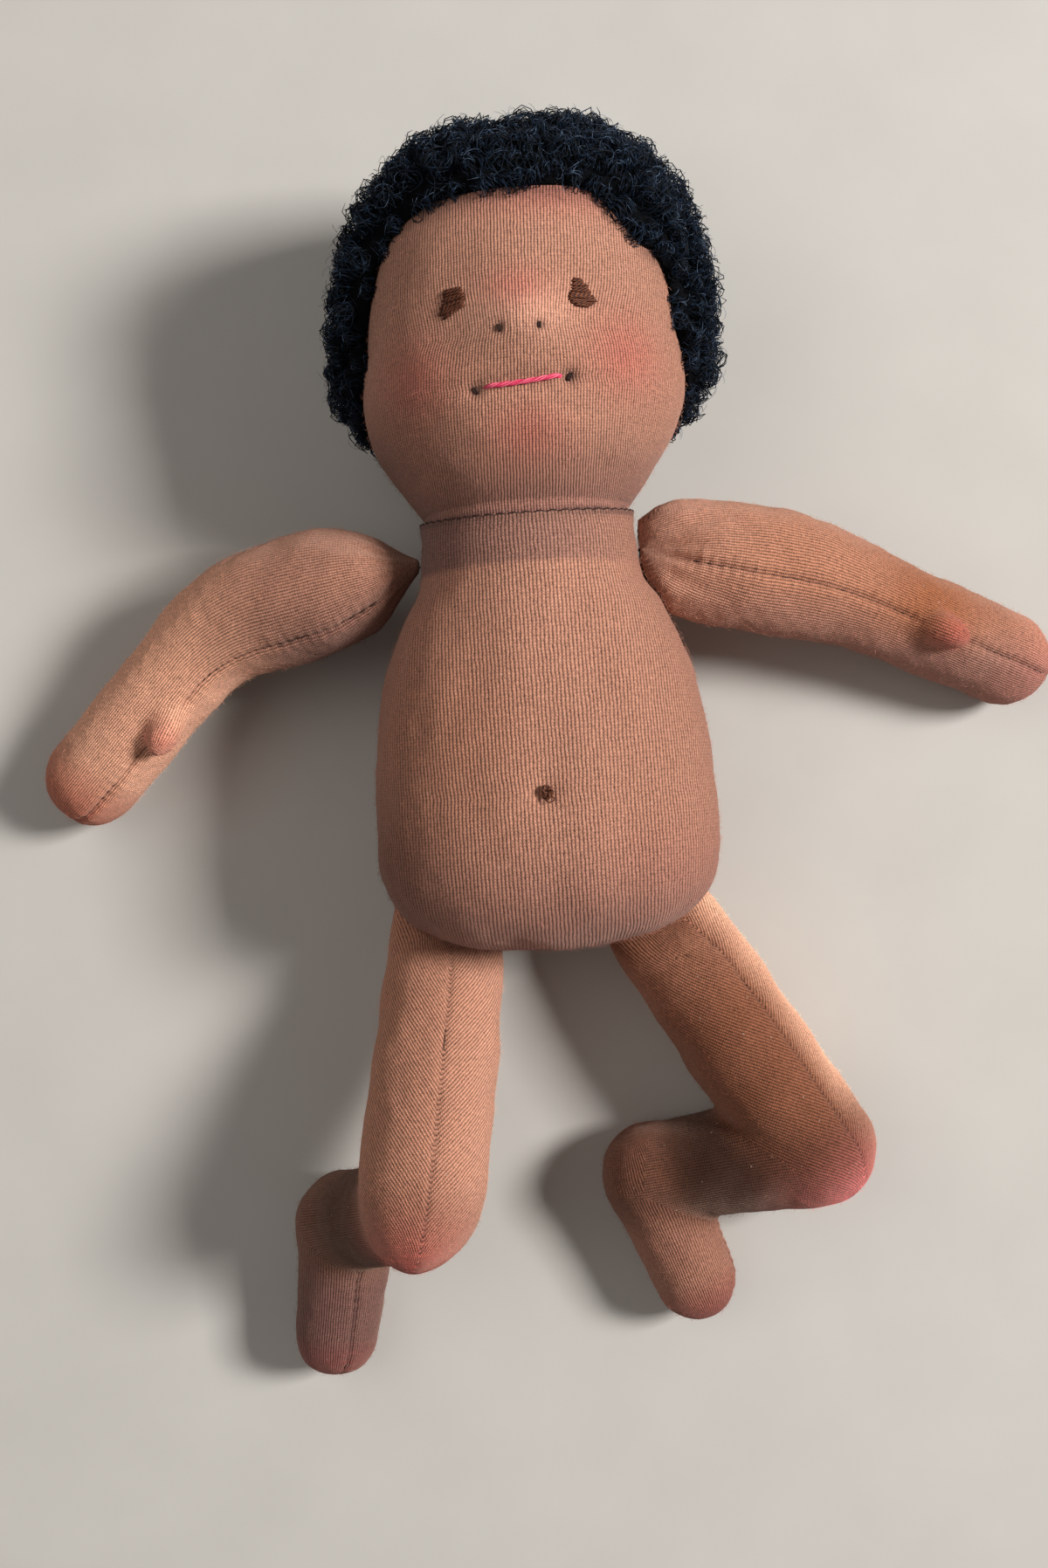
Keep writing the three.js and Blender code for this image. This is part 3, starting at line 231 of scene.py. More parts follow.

# %% [markdown]
# ## Colours
# The cloth is one dyed cotton, chalked pink on the cheeks, nose, chin, brow and knees. A colour
# for each point carries those soft patches and painted light and shade as well: darker towards
# the floor, painted shadow on the shins, in seams, pits and under the hair's edge, painted shade
# on the left jaw, flank and leg, and painted light on the nose, chin and the sides that face the
# lamp. The stitch pattern is laid over it by the material.


# %% Linear colours from plain ones
def linear(red, green, blue):
    """A screen colour of 0 to 255 as the linear light that a renderer adds up."""
    c = np.array([red, green, blue], float) / 255
    return np.where(c <= 0.04045, c / 12.92, ((c + 0.055) / 1.055) ** 2.4)


TAN, ORANGE = linear(164, 115, 95), linear(164, 98, 62)
MAUVE, BLUSH = linear(130, 90, 86), linear(190, 84, 78)
# In the next row the lighter pink is painted light for lit sides; in the row after, both colours
# paint shade and shadow into the cloth.
PALE, PAINTED_LIGHT = linear(214, 158, 134), linear(232, 170, 140)
SHADOW, PAINTED_SHIN_SHADOW = linear(74, 52, 50), linear(40, 23, 15)
print("tan in linear light:", TAN.round(3))


# %% Patches of colour
def painted(base, patches):
    """A base colour with patches (colour, mask per point) laid over it in turn."""
    for colour, mask in patches:
        base = mix(base, colour, np.clip(mask, 0, 1)[:, None])
    return base


def spot(points, centre, size):
    """A soft round mask about a place, in millimetres; a size may differ along each axis."""
    return np.exp(-(((points - np.array(centre)) / np.array(size)) ** 2).sum(-1))


def spots(points, table):
    """Patches to paint, from rows of colour, strength, centre and size."""
    return [(colour, share * spot(points, at, size)) for colour, share, at, size in table]


print("a spot one size off its middle:", spot(np.array([1.0, 0, 0]), (0, 0, 0), 1).round(2))

# %% [markdown]
# ## The knit
# Jersey shows columns of small V stitches, called wales, 0.6 to 0.8 mm apart. They could be
# modelled thread by thread, but that is millions of faces, so the columns and their V's are worked
# out in a node group from the cloth's own coordinates, and raise the surface as bump.


# %% Nodes whose inputs are set by name
def set_socket(tree, socket, value):
    """A socket takes a number or colour of its own, or a link from another node's socket."""
    if isinstance(value, bpy.types.NodeSocket):
        tree.links.new(value, socket)
    else:
        socket.default_value = value


def set_inputs(tree, node, **inputs):
    """Inputs by name, with _ for a space."""
    for name, value in inputs.items():
        set_socket(tree, node.inputs[name.replace("_", " ")], value)
    return node


def add_node(tree, kind, **inputs):
    """A new shader node of a kind with its inputs."""
    return set_inputs(tree, tree.nodes.new("ShaderNode" + kind), **inputs)


def math_node(tree, operation, *values, clamp=False):
    """One Math node whose inputs are numbers or sockets."""
    node = add_node(tree, "Math")
    node.operation, node.use_clamp = operation, clamp
    for socket, value in zip(node.inputs, values):
        set_socket(tree, socket, value)
    return node.outputs[0]


# %% Noise, ramps, bump and new materials
def noise(tree, place, scale, detail=2.0, rough=0.5):
    """Soft random values about a half."""
    return add_node(tree, "TexNoise", Vector=place, Scale=scale, Detail=detail,
                    Roughness=rough).outputs[0]


def ramp(tree, value, low, dark, high, light):
    """A colour that runs from dark at the low value to light at the high one."""
    node = tree.nodes.new("ShaderNodeValToRGB")
    for stop, place, colour in zip(node.color_ramp.elements, (low, high), (dark, light)):
        stop.position, stop.color = place, (*colour, 1)
    tree.links.new(value, node.inputs[0])
    return node.outputs[0]


def add_bump(tree, shader, height, strength, distance):
    """The shader's normal leans as a relief of this height would make it."""
    bump = add_node(tree, "Bump", Strength=strength, Distance=distance, Height=height)
    tree.links.new(bump.outputs[0], shader.inputs["Normal"])


def colour_times(tree, colour, value):
    """A colour multiplied by a single value at each point."""
    node = add_node(tree, "VectorMath")
    node.operation = "SCALE"
    tree.links.new(colour, node.inputs[0])
    tree.links.new(value, node.inputs["Scale"])
    return node.outputs[0]


def new_material(name, **inputs):
    """A node material, its tree, its Principled shader and the place on the object."""
    material = bpy.data.materials.new(name)
    material.use_nodes = True
    tree = material.node_tree
    shader = set_inputs(tree, tree.nodes["Principled BSDF"], **inputs)
    return material, tree, shader, add_node(tree, "TexCoord").outputs["Object"]


def read_attribute(tree, kind, name):
    """The piece's own cloth coordinates or its tint."""
    node = add_node(tree, kind)
    if kind == "UVMap":
        node.uv_map = name
        return node.outputs[0]
    node.attribute_name = name
    return node.outputs["Color"]


# %% A knit node group with named sockets
def build_knit_group():
    """Column = 1 - |offset from the wale's middle|^1.8. Stitch = a cosine along the wale whose
    phase runs ahead with that offset, which draws the V. Fibre = fine noise over both."""
    tree = bpy.data.node_groups.new("knit stitches", "ShaderNodeTree")
    for name, kind in (("Cloth", "Vector"), ("Wale", "Float"), ("Course", "Float"),
                       ("Place", "Vector")):
        tree.interface.new_socket(name, in_out="INPUT", socket_type="NodeSocket" + kind)
    for name in ("Height", "Shade", "Lint"):
        tree.interface.new_socket(name, in_out="OUTPUT", socket_type="NodeSocketFloat")
    given = tree.nodes.new("NodeGroupInput").outputs
    result = tree.nodes.new("NodeGroupOutput")
    work = lambda operation, *values: math_node(tree, operation, *values)

    def swing(amount, scale, detail, rough=0.5):
        """Noise about nought."""
        level = noise(tree, given["Place"], scale, detail, rough)
        return work("MULTIPLY", work("SUBTRACT", level, 0.5), amount)

    drift = swing(0.6, scale=380, detail=2)
    split = add_node(tree, "SeparateXYZ", Vector=given["Cloth"]).outputs
    u, v = (work("ADD", work("DIVIDE", split[k], work("MULTIPLY", given[name], MM)), drift)
            for k, name in enumerate(("Wale", "Course")))
    offset = work("MULTIPLY", work("ABSOLUTE", work("SUBTRACT", work("FRACT", u), 0.5)), 2.0)
    column = work("SUBTRACT", 1.0, work("POWER", offset, 1.8))
    phase = work("MULTIPLY", work("ADD", v, work("MULTIPLY", offset, 0.6)), TURN)
    knit = work("MULTIPLY", column, work("MULTIPLY_ADD", work("COSINE", phase), 0.2, 0.8))
    fuzz = swing(0.9, scale=3600, detail=3, rough=0.7)
    uneven = swing(1.1, scale=1700, detail=2)
    # Shade is the knit's pattern: its gaps between wales are darkened as painted shade in the
    # grooves, with random unevenness and fibre noise over it.
    shade = work("ADD", work("ADD", work("MULTIPLY_ADD", knit, 1.2, 0.32), uneven), fuzz)
    cell = add_node(tree, "TexVoronoi", Vector=given["Place"], Scale=700)
    rare = add_node(tree, "SeparateColor", Color=cell.outputs["Color"]).outputs[0]
    lint = work("MULTIPLY", work("GREATER_THAN", rare, 0.86),
                work("LESS_THAN", cell.outputs["Distance"], 0.13))
    set_inputs(tree, result, Height=work("ADD", knit, fuzz), Shade=shade, Lint=lint)
    return tree


knit_group = build_knit_group()
print("knit group nodes:", len(knit_group.nodes))


# %% The knit as a material
def knit_material(name, wale, course, sheen_tint):
    """Tint times the stitches' shade, a few pale lint specks, and bump from their height."""
    material, tree, shader, place = new_material(
        name, Specular_IOR_Level=0.18, Sheen_Weight=0.32, Sheen_Roughness=0.45,
        Sheen_Tint=(*sheen_tint, 1))
    knit = add_node(tree, "Group")
    knit.node_tree = knit_group
    set_inputs(tree, knit, Wale=wale, Course=course, Place=place,
               Cloth=read_attribute(tree, "UVMap", "cloth"))
    tint = read_attribute(tree, "Attribute", "tint")
    lint = add_node(tree, "Mix")
    lint.data_type = "RGBA"
    set_inputs(tree, lint, Factor=math_node(tree, "MULTIPLY", knit.outputs["Lint"], 0.3),
               A=colour_times(tree, tint, knit.outputs["Shade"]), B=(0.62, 0.5, 0.42, 1))
    rough = math_node(tree, "MULTIPLY_ADD", knit.outputs["Height"], -0.08, 0.97)
    set_inputs(tree, shader, Base_Color=lint.outputs["Result"], Roughness=rough)
    add_bump(tree, shader, knit.outputs["Height"], 0.7, 0.0003)
    return material


torso_knit = knit_material("torso knit", 0.77, 0.6, (0.9, 0.66, 0.58))
head_knit = knit_material("head knit", 0.62, 0.52, (0.92, 0.68, 0.58))
limb_knit = knit_material("limb knit", 0.62, 0.5, (0.92, 0.62, 0.5))
print("knits:", torso_knit.name, head_knit.name, limb_knit.name, sep=", ")


# %% Floss, sewing thread and wool
PLIES = 3


def thread_material(name, light, dark, twist, gloss):
    """Fine fibres wind round each strand: a wave of the place along it plus the place around it."""
    material, tree, shader, place = new_material(name, Roughness=gloss, Specular_IOR_Level=0.25)
    cloth = read_attribute(tree, "UVMap", "cloth")
    around, ahead, _ = add_node(tree, "SeparateXYZ", Vector=cloth).outputs
    turned = math_node(tree, "MULTIPLY", around, TURN * PLIES / MM)
    phase = math_node(tree, "MULTIPLY_ADD", ahead, TURN / (twist * MM), turned)
    wave = math_node(tree, "MULTIPLY_ADD", math_node(tree, "SINE", phase), 0.5, 0.5)
    fibre = math_node(tree, "ADD", wave, noise(tree, place, 1500, 3))
    blend = math_node(tree, "MULTIPLY", fibre, 0.55, clamp=True)
    set_inputs(tree, shader, Base_Color=ramp(tree, blend, 0.38, dark, 0.85, light))
    add_bump(tree, shader, blend, 0.6, 0.00012)
    return material


brown_floss = thread_material("brown floss", linear(132, 76, 52), linear(34, 17, 12), 0.9, 0.7)
pink_floss = thread_material("pink floss", linear(240, 118, 142), linear(204, 44, 84), 3.0, 0.5)
dark_thread = thread_material("dark thread", linear(70, 44, 38), linear(26, 16, 14), 0.5, 0.6)
plain_string = thread_material("plain string", linear(216, 205, 184), linear(150, 138, 118),
                               0.8, 0.8)
print("materials:", len(bpy.data.materials))

# %% [markdown]
# ## The torso
# The torso is a tube of jersey filled with wool: a pear that narrows to a ribbed band at the neck.
# A cloth simulation would puff it up the same way, but the form is known, so it is a stack of
# rounded rings whose width, front and back come from tables of shares.

# %% Sizes of the trunk
BAND_TOP, BAND_HEIGHT, BAND_RADIUS = 46.0, 8.4, 22.2
NECK_RADIUS, NECK_HEIGHT, NECK_END, CUP_RADIUS = 20.8, 30.5, 36.6, 21.1
BELLY_LINE, BOTTOM, BELLY_HALF, BELLY_FRONT, NAVEL_Y = -18.0, -40.5, 35.0, 55.0, -8.5
BELLY_POWER, BOTTOM_POWER, REST_CUT = 2.3, 2.6, 0.5
BAND_BOTTOM = BAND_TOP - BAND_HEIGHT
TORSO_WIDTH = [[0, 1], [0.14, 0.99], [0.32, 0.935], [0.52, 0.81], [0.68, 0.615], [0.84, 0.3],
               [0.94, 0.05], [1, 0]]
TORSO_FRONT = [[0, 1], [0.5, 0.95], [0.8, 0.5], [1, 0]]
TORSO_BACK = [[0, 1], [0.52, 1], [0.68, 0.87], [0.84, 0.5], [0.94, 0.15], [1, 0]]


def torso_section(y):
    """Half width, front, back and squareness of the belly at a height, from the tables."""
    place = (y - BELLY_LINE) / (BAND_BOTTOM - BELLY_LINE)
    round_share = along(TORSO_WIDTH, place)
    half = mix(BAND_RADIUS, BELLY_HALF, round_share)
    front = mix(NECK_HEIGHT + BAND_RADIUS, BELLY_FRONT, along(TORSO_FRONT, place))
    back = mix(NECK_HEIGHT - BAND_RADIUS, -REST_CUT, along(TORSO_BACK, place))
    return half, front, back, mix(2, BELLY_POWER, round_share)


def power_sum(a, b, power):
    """The power mean that rounds one outline into another."""
    return (a ** power + b ** power) ** (1 / power)


def trunk_gap(points):
    """About how far points lie outside the trunk's cloth, in millimetres."""
    half, front, back, power = torso_section(np.maximum(points[:, 1], BELLY_LINE))
    middle, deep = (front + back) / 2, (front - back) / 2
    girth = power_sum(np.abs(points[:, 0]) / half, np.abs(points[:, 2] - middle) / deep, power)
    out = np.maximum(0, BELLY_LINE - points[:, 1]) / (BELLY_LINE - BOTTOM)
    return (power_sum(girth, out, BOTTOM_POWER) - 1) * np.minimum(half, BAND_RADIUS + 3)


print("the belly's half width and front:", *(v.round(1) for v in torso_section(BELLY_LINE)[:2]))


# %% Rings and their cloth
def cross_ring(x, y, half, front, back, power, angles):
    """Rings across Y: a rounded outline whose power makes it squarer."""
    rows = np.broadcast_arrays(x, y, half, front, back, power)
    x, y, half, front, back, power = (row[..., None] for row in rows)
    across = x + half * signed_power(np.cos(angles), 2 / power)
    rise = (front + back) / 2 + (front - back) / 2 * signed_power(np.sin(angles), 2 / power)
    return np.stack([across, y + 0 * across, rise], -1)


def neck_ring(y, radius, angles):
    """Round rings about the neck's line."""
    return cross_ring(0, y, radius, NECK_HEIGHT + radius, NECK_HEIGHT - radius, 2, angles)


def cloth_grid(rows):
    """How far each corner lies from the front's middle and along the piece, in millimetres."""
    closed = np.concatenate([rows, rows[:, :1]], 1)
    step = np.linalg.norm(np.diff(closed, axis=1), axis=2)
    around = np.concatenate([np.zeros((len(rows), 1)), np.cumsum(step, 1)], 1)
    middle = rows.shape[1] // 2
    front = np.linalg.norm(np.diff(rows[:, middle], axis=0), axis=1)
    down = np.concatenate([[0], np.cumsum(front)])
    return around - around[:, middle][:, None], np.repeat(down[:, None], closed.shape[1], 1)


def push_out(rows, amount):
    """Points moved along the surface's own normal, found from the grid's two directions."""
    around = np.roll(rows, -1, 1) - np.roll(rows, 1, 1)
    normal = unit(np.cross(around, np.gradient(rows, axis=0)))
    centre = rows.mean(1, keepdims=True)
    flip = np.sign(((rows - centre) * normal).sum(-1).mean())
    return rows + normal * flip * amount[..., None]


def lying_flat(points, height=0.0):
    """Nothing goes below the surface that the doll lies on."""
    points[..., 2] = np.maximum(points[..., 2], height)
    return points


print("the band's way round in mm:", round(TURN * BAND_RADIUS, 1))

# %% The torso's rings
SEAM_TILT, SCALLOP, SCALLOP_RISE = 1.1, 2.6, 0.4
TORSO_COLUMNS, BOTTOM_RINGS, BELLY_RINGS, BAND_RINGS = 288, 56, 117, 29
HEM_ROLL = np.array([[0.12, -0.3], [0.3, -0.65], [0.32, -1.0], [-3.0, -1.1]])  # up, out


def hem_tilt(angles):
    """The hem hangs a little lower in front than at the sides."""
    return SEAM_TILT * (0.6 - 1.7 * np.maximum(0, np.sin(angles)))


def torso_rows():
    """Bottom rings by the rounded end's formula, belly rings by the tables, then the ribbed band,
    whose hem is a soft roll that turns in to hold the neck. The join lies at the back."""
    angles = TURN * np.arange(TORSO_COLUMNS) / TORSO_COLUMNS - np.pi / 2
    half, front, back, power = torso_section(BELLY_LINE)
    middle = (front + back) / 2
    turn = np.linspace(0.985, 0, BOTTOM_RINGS) * np.pi / 2
    reach, girth = (wave(turn) ** (2 / BOTTOM_POWER) for wave in (np.sin, np.cos))
    bottom = cross_ring(0, BELLY_LINE - (BELLY_LINE - BOTTOM) * reach, half * girth,
                        mix(middle, front, girth), mix(middle, back, girth), power, angles)
    y = np.linspace(BELLY_LINE, BAND_BOTTOM, BELLY_RINGS + 1)[1:]
    belly = cross_ring(0, y, *torso_section(y), angles)
    y = np.linspace(BAND_BOTTOM, BAND_TOP, BAND_RINGS + 1)[1:]
    bulge = 0.12 * bell(y - BAND_TOP + 1, 0.9) - 0.6 * bell(y - BAND_TOP + 2, 3.5)
    radius = BAND_RADIUS + np.concatenate([bulge, HEM_ROLL[:, 1]])
    band = neck_ring(np.concatenate([y, BAND_TOP + HEM_ROLL[:, 0]]), radius, angles)
    scallops = SCALLOP_RISE * np.abs(np.sin(angles * BAND_RADIUS / SCALLOP * np.pi))
    band[..., 1] += (hem_tilt(angles) + scallops) * fade(band[..., 1], BAND_TOP - 5, 5)
    cup = neck_ring(np.array([NECK_END - 0.6]), CUP_RADIUS, angles)
    return np.concatenate([bottom, belly, band, cup])


print("rings of the torso:", len(torso_rows()))

# %% The torso's cover
TORSO_LUMPS = (0.28, 17, 3), (0.1, 6, 4)
# An orange patch up the left, a touch of pink low on the right, and painted shade low on the left
# flank.
TORSO_SPOTS = [(ORANGE, 0.2, (-16, 2, 40), (16, 20, 30)),
               (BLUSH, 0.06, (24, -24, 40), (14, 10, 30)),
               (mix(ORANGE, SHADOW, 0.75), 0.9, (-31, -24, 28), (9, 17, 30))]


def build_torso():
    """The rings with soft wool lumps, a dimple under the navel knot and a sewn line up the back."""
    rows = torso_rows()
    free = np.clip((BAND_BOTTOM + 4 - rows[..., 1]) / 8, 0.15, 1)
    relief = wool_lumps(rows, *TORSO_LUMPS) * free
    relief -= 1.1 * spot(rows, (0, NAVEL_Y, BELLY_FRONT), (2.4, 2.4, 9))
    at_back = (rows[..., 2] < NECK_HEIGHT) & (rows[..., 1] < BAND_BOTTOM)
    relief -= 0.5 * bell(rows[..., 0], 0.8) * at_back
    shown = len(rows) - len(HEM_ROLL) - 1
    rows[:shown] = push_out(rows, relief)[:shown]
    points, faces = capped_rings(lying_flat(rows))
    x, y, z = points.T
    low = fade(-y, 12, 26)
    band = fade(y, BAND_BOTTOM - 2.2, 1.2) * (1 - 0.8 * fade(x, 4, 16))
    hem = bell(y - BAND_TOP - hem_tilt(np.arctan2(z - NECK_HEIGHT, x)), 0.5)
    tint = painted(TAN, [
        # Mauve towards the floor is painted shade; the bottom end turns mauve too.
        (MAUVE, 0.5 * (1 - fade(z, 16, 26))), (MAUVE, 0.5 * low),
        # The ribbed band darkens, its own tone plus painted shade that fades on the lit right side,
        # and a painted shadow runs along the hem's seam.
        (mix(MAUVE, SHADOW, 0.6), 0.9 * band), (SHADOW, 0.8 * hem),
        # Pale over the top of the belly is painted light.
        (PALE, 0.3 * bell(x, 20) * fade(z, 30, 22) * (1 - low)),
        *spots(points, TORSO_SPOTS)])
    return make_piece("torso_cover", points, faces, ring_uv(*cloth_grid(rows)), tint)


torso = dress(build_torso(), torso_knit, "torso", "torso_knit", "torso_skin")
print("torso faces:", len(torso.data.polygons))

# %% [markdown]
# ## The head
# The head is a tight ball of wool in a knit skin. Threads pulled through it make the hollows of
# the eyes, the nose and the corners of the mouth. The ball is a stack of rings, and the face is a
# height field laid over its front, because every pull is a soft hump or hollow.

# %% Sizes of the head
NECK_TOP, HEAD_MIDDLE, CROWN = 48.0, 79.0, 119.6
HEAD_HALF, HEAD_FRONT, HEAD_BACK, CROWN_POWER, LEAN = 31.6, 66.8, 6.0, 2.45, 0.045
HEAD_WIDTH = [[0, 0], [0.13, 0.28], [0.27, 0.57], [0.4, 0.8], [0.55, 0.97], [0.7, 1.05],
              [0.84, 1.06], [1, 1]]
HEAD_FRONTS = [[0, 0], [0.13, 0.36], [0.27, 0.65], [0.4, 0.83], [0.55, 0.94], [0.7, 0.98], [1, 1]]
HEAD_BACKS = [[0, 0], [0.27, 0.4], [0.6, 0.9], [1, 1]]


def head_section(y):
    """Middle, half width, front and back of the head at a height. Above its widest line the
    crown rounds off by a power curve."""
    place = (y - NECK_TOP) / (HEAD_MIDDLE - NECK_TOP)
    half = mix(NECK_RADIUS, HEAD_HALF, along(HEAD_WIDTH, place))
    front = mix(NECK_HEIGHT + NECK_RADIUS, HEAD_FRONT, along(HEAD_FRONTS, place))
    back = mix(NECK_HEIGHT - NECK_RADIUS, HEAD_BACK, along(HEAD_BACKS, place))
    girth = (1 - fade(y, HEAD_MIDDLE, CROWN - HEAD_MIDDLE) ** CROWN_POWER) ** (1 / CROWN_POWER)
    middle, lean = (front + back) / 2, LEAN * np.maximum(0, y - NECK_TOP)
    return lean, half * girth, mix(middle, front, girth), mix(middle, back, girth)


print("the head's half width and front:", *(v.round(1) for v in head_section(HEAD_MIDDLE)[1:3]))

# %% The face's humps and hollows
FACE_MIDDLE, EYE_Y, EYE_SPREAD, NOSE_Y = 0.6, 83.4, 12.1, 78.6
MOUTH_Y, MOUTH_HALF, MOUTH_TILT, CORNER_SPREAD = 67.1, 7.2, 0.08, 8.8
NOSTRIL_Y, NOSTRIL_SPREAD = 76.6, 3.7
# Each form's place across and up, its rise and its half sizes. Those of the lip follow its tilt.
FACE_FORMS = [(0, NOSE_Y, 3.4, 7.4, 5.6)]
LIP_FORMS = [(0, -0.8, MOUTH_HALF * 1.25, 2.2)]
for side in SIDES.values():
    FACE_FORMS += [(side * EYE_SPREAD, EYE_Y, -0.9, 7, 6.5),
                   (side * NOSTRIL_SPREAD, NOSTRIL_Y, -0.6, 1.0, 0.9)]
    LIP_FORMS += [(side * CORNER_SPREAD, -1.1, 1.5, 1.4)]


def face_relief(x, y):
    """Nose hump, eye hollows, mouth crease, and small deep pulls at the nostrils and corners,
    with fine gathers under the nose and a crease beside each eye."""
    across = x - FACE_MIDDLE
    lip = y - MOUTH_Y - MOUTH_TILT * across
    relief = 0.16 * np.cos(across * TURN / 1.3) * bell(across, 3.6) * bell(y - NOSTRIL_Y, 2.4)
    for at, up, rise, wide, tall in FACE_FORMS:
        relief += rise * bell(across - at, wide) * bell(y - up, tall)
    for at, rise, wide, tall in LIP_FORMS:
        relief += rise * bell(across - at, wide) * bell(lip, tall)
    for side in SIDES.values():
        tilt, beside = 0.25 * side * (across - side * EYE_SPREAD), side * (EYE_SPREAD + 6)
        relief -= 0.25 * bell(y - EYE_Y + 2.6 + tilt, 1) * bell(across - beside, 5)
    return relief


def face_height(x, y):
    """Where the skin's surface is in front, at a place on the face."""
    lean, half, front, back = head_section(y)
    middle = (front + back) / 2
    curve = np.sqrt(np.maximum(0, 1 - ((x - lean) / half) ** 2))
    return middle + (front - middle) * curve + curve * face_relief(x, y)


print("the nose stands out by", face_relief(FACE_MIDDLE, NOSE_Y).round(2), "mm")

# %% Where the hair ends
NAPE_Y, HAIRLINE_Y = 60.0, 104.0
HAIRLINE = [[0, 1], [0.19, 0.99], [0.29, 0.93], [0.345, 0.83], [0.373, 0.68], [0.4, 0.52],
            [0.43, 0.36], [0.5, 0.2], [0.65, 0.1], [1, 0]]
LOCKS = (-0.8, 7.5), (-1.12, 7.0)  # angle from the front, how far it droops
LOCK_WIDTH = 0.2


def hair_edge(angle):
    """The height of the hair's edge: high over the brow, low at the nape, with drooping locks."""
    from_front = np.arctan2(-np.cos(angle), np.sin(angle))
    edge = mix(NAPE_Y, HAIRLINE_Y, along(HAIRLINE, np.abs(from_front) / np.pi))
    for at, droop in LOCKS:
        edge = edge - droop * bell(from_front - at, LOCK_WIDTH)
    return edge


print("the hair's edge at brow and nape:", hair_edge(np.array([0.25, 0.75]) * TURN).round(1))

# %% The head's cover
HEAD_COLUMNS, BALL_RINGS, CROWN_RINGS, FACE_CROWDING = 272, 109, 90, 0.42
PLUG = np.array([[NECK_END, 3], [NECK_END + 0.3, 0.3], [38.1, 0], [39.7, 1.6], [41.5, 1.6],
                 [43.1, 0], [44.5, 0], [46, 0], [47, 0]])  # height, how far inside the neck
HEAD_LUMPS = (0.2, 15, 8), (0.07, 5, 9)
# Pale rows are painted light on the nose, chin and left cheek, and a paler brow; pink rows are
# chalk; the last row is painted shade on the left jaw.
FACE_SPOTS = [
    (PALE, 0.3, (2, 98, 60), (22, 12, 30)), (PALE, 0.95, (-0.5, 80, 62), (11, 5.5, 30)),
    (PALE, 0.35, (2, 60, 60), (14, 8, 30)), (PALE, 0.25, (-25, 71, 44), (7, 9, 16)),
    (BLUSH, 0.44, (20, 72, 52), (7, 7.5, 30)), (BLUSH, 0.42, (-20, 70, 52), (7, 8, 30)),
    (BLUSH, 0.4, (0.6, 84, 62), (5.5, 4, 30)), (BLUSH, 0.42, (1, 58.5, 56), (7, 5, 30)),
    (BLUSH, 0.35, (8, 103, 55), (14, 5, 30)),
    (mix(ORANGE, SHADOW, 0.8), 0.85, (-26, 60, 32), (8, 12, 26))]


def head_rows():
    """The neck's plug, tied in by its string, then the ball up to the crown. The columns stand
    closer together over the face."""
    even = TURN * np.arange(HEAD_COLUMNS) / HEAD_COLUMNS
    angles = even - np.pi / 2 + FACE_CROWDING * np.sin(even)
    plug = neck_ring(PLUG[:, 0], NECK_RADIUS - PLUG[:, 1], angles)
    turn = np.sin(np.linspace(0, 0.992, CROWN_RINGS) * np.pi / 2) ** (2 / CROWN_POWER)
    y = np.concatenate([np.linspace(NECK_TOP, HEAD_MIDDLE, BALL_RINGS + 1)[:-1],
                        HEAD_MIDDLE + (CROWN - HEAD_MIDDLE) * turn])
    lean, half, front, back = head_section(y)
    ball = cross_ring(lean, y, half, front, back, 2, angles)
    middle = (front + back) / 2
    forward = fade(ball[..., 2], middle[:, None], (front - middle)[:, None] + 1e-6)
    ball[..., 2] += forward * face_relief(ball[..., 0], ball[..., 1])
    ball = push_out(ball, wool_lumps(ball, *HEAD_LUMPS) * fade(ball[..., 1], NECK_TOP, 6))
    return np.concatenate([plug, ball])


def build_head():
    """The rings as one closed cover, chalked on cheeks, nose, chin and brow, with painted light and
    painted shade laid into its colour.
    """
    rows = head_rows()
    points, faces = capped_rings(rows)
    x, y, z = points.T
    turn, across, in_front = np.arctan2(z - NECK_HEIGHT, x), x - FACE_MIDDLE, z > 40
    # Painted shade in the pits that threads pull in at the nostrils and the mouth's corners.
    dark = 0
    for side in SIDES.values():
        corner = MOUTH_Y + MOUTH_TILT * side * CORNER_SPREAD
        dark = dark + bell(across - side * NOSTRIL_SPREAD, 1.1) * bell(y - NOSTRIL_Y, 0.9)
        dark = dark + 1.1 * bell(across - side * CORNER_SPREAD, 1.3) * bell(y - corner, 1.2)
    tint = painted(mix(TAN, PALE, 0.15), [
        # Mauve towards the floor is painted shade; the lower head turns mauve too.
        (MAUVE, 0.45 * (1 - fade(z, 22, 26))), (MAUVE, 0.55 * fade(-y, -60, 14)),
        *spots(points, FACE_SPOTS), (SHADOW, 0.65 * dark * in_front),
        # Painted shadow under the hair's edge, along the neck's seam and in the mouth's crease.
        (SHADOW, 0.5 * bell(y - hair_edge(turn) + 0.5, 2.6) * (z > NECK_HEIGHT - 0.5)),
        (SHADOW, 0.85 * bell(y - BAND_TOP - hem_tilt(turn) - 0.7, 0.45)),
        (SHADOW, 0.22 * bell(y - MOUTH_Y - 0.8, 1.6) * bell(across, 9) * in_front)])
    return make_piece("head_cover", points, faces, ring_uv(*cloth_grid(rows)), tint)


head = dress(build_head(), head_knit, "head", "head_knit", "head_skin")
print("head faces:", len(head.data.polygons))

# %% [markdown]
# ## The limbs
# Arms and legs are sewn tubes. A swept tube would cut into itself where the knee folds, so each
# limb is a field instead: a formula gives the distance to each tube, the smaller one wins with a
# rounded join, and a rough mesh is pulled on to the field's surface.


# %% Turns, rounded ends and joins
def turn_about(axis, angle):
    """The matrix that turns by an angle about one axis."""
    c, s = math.cos(angle), math.sin(angle)
    i, j = [(1, 2), (2, 0), (0, 1)][axis]
    m = np.eye(3)
    m[i, i], m[i, j], m[j, i], m[j, j] = c, -s, s, c
    return m


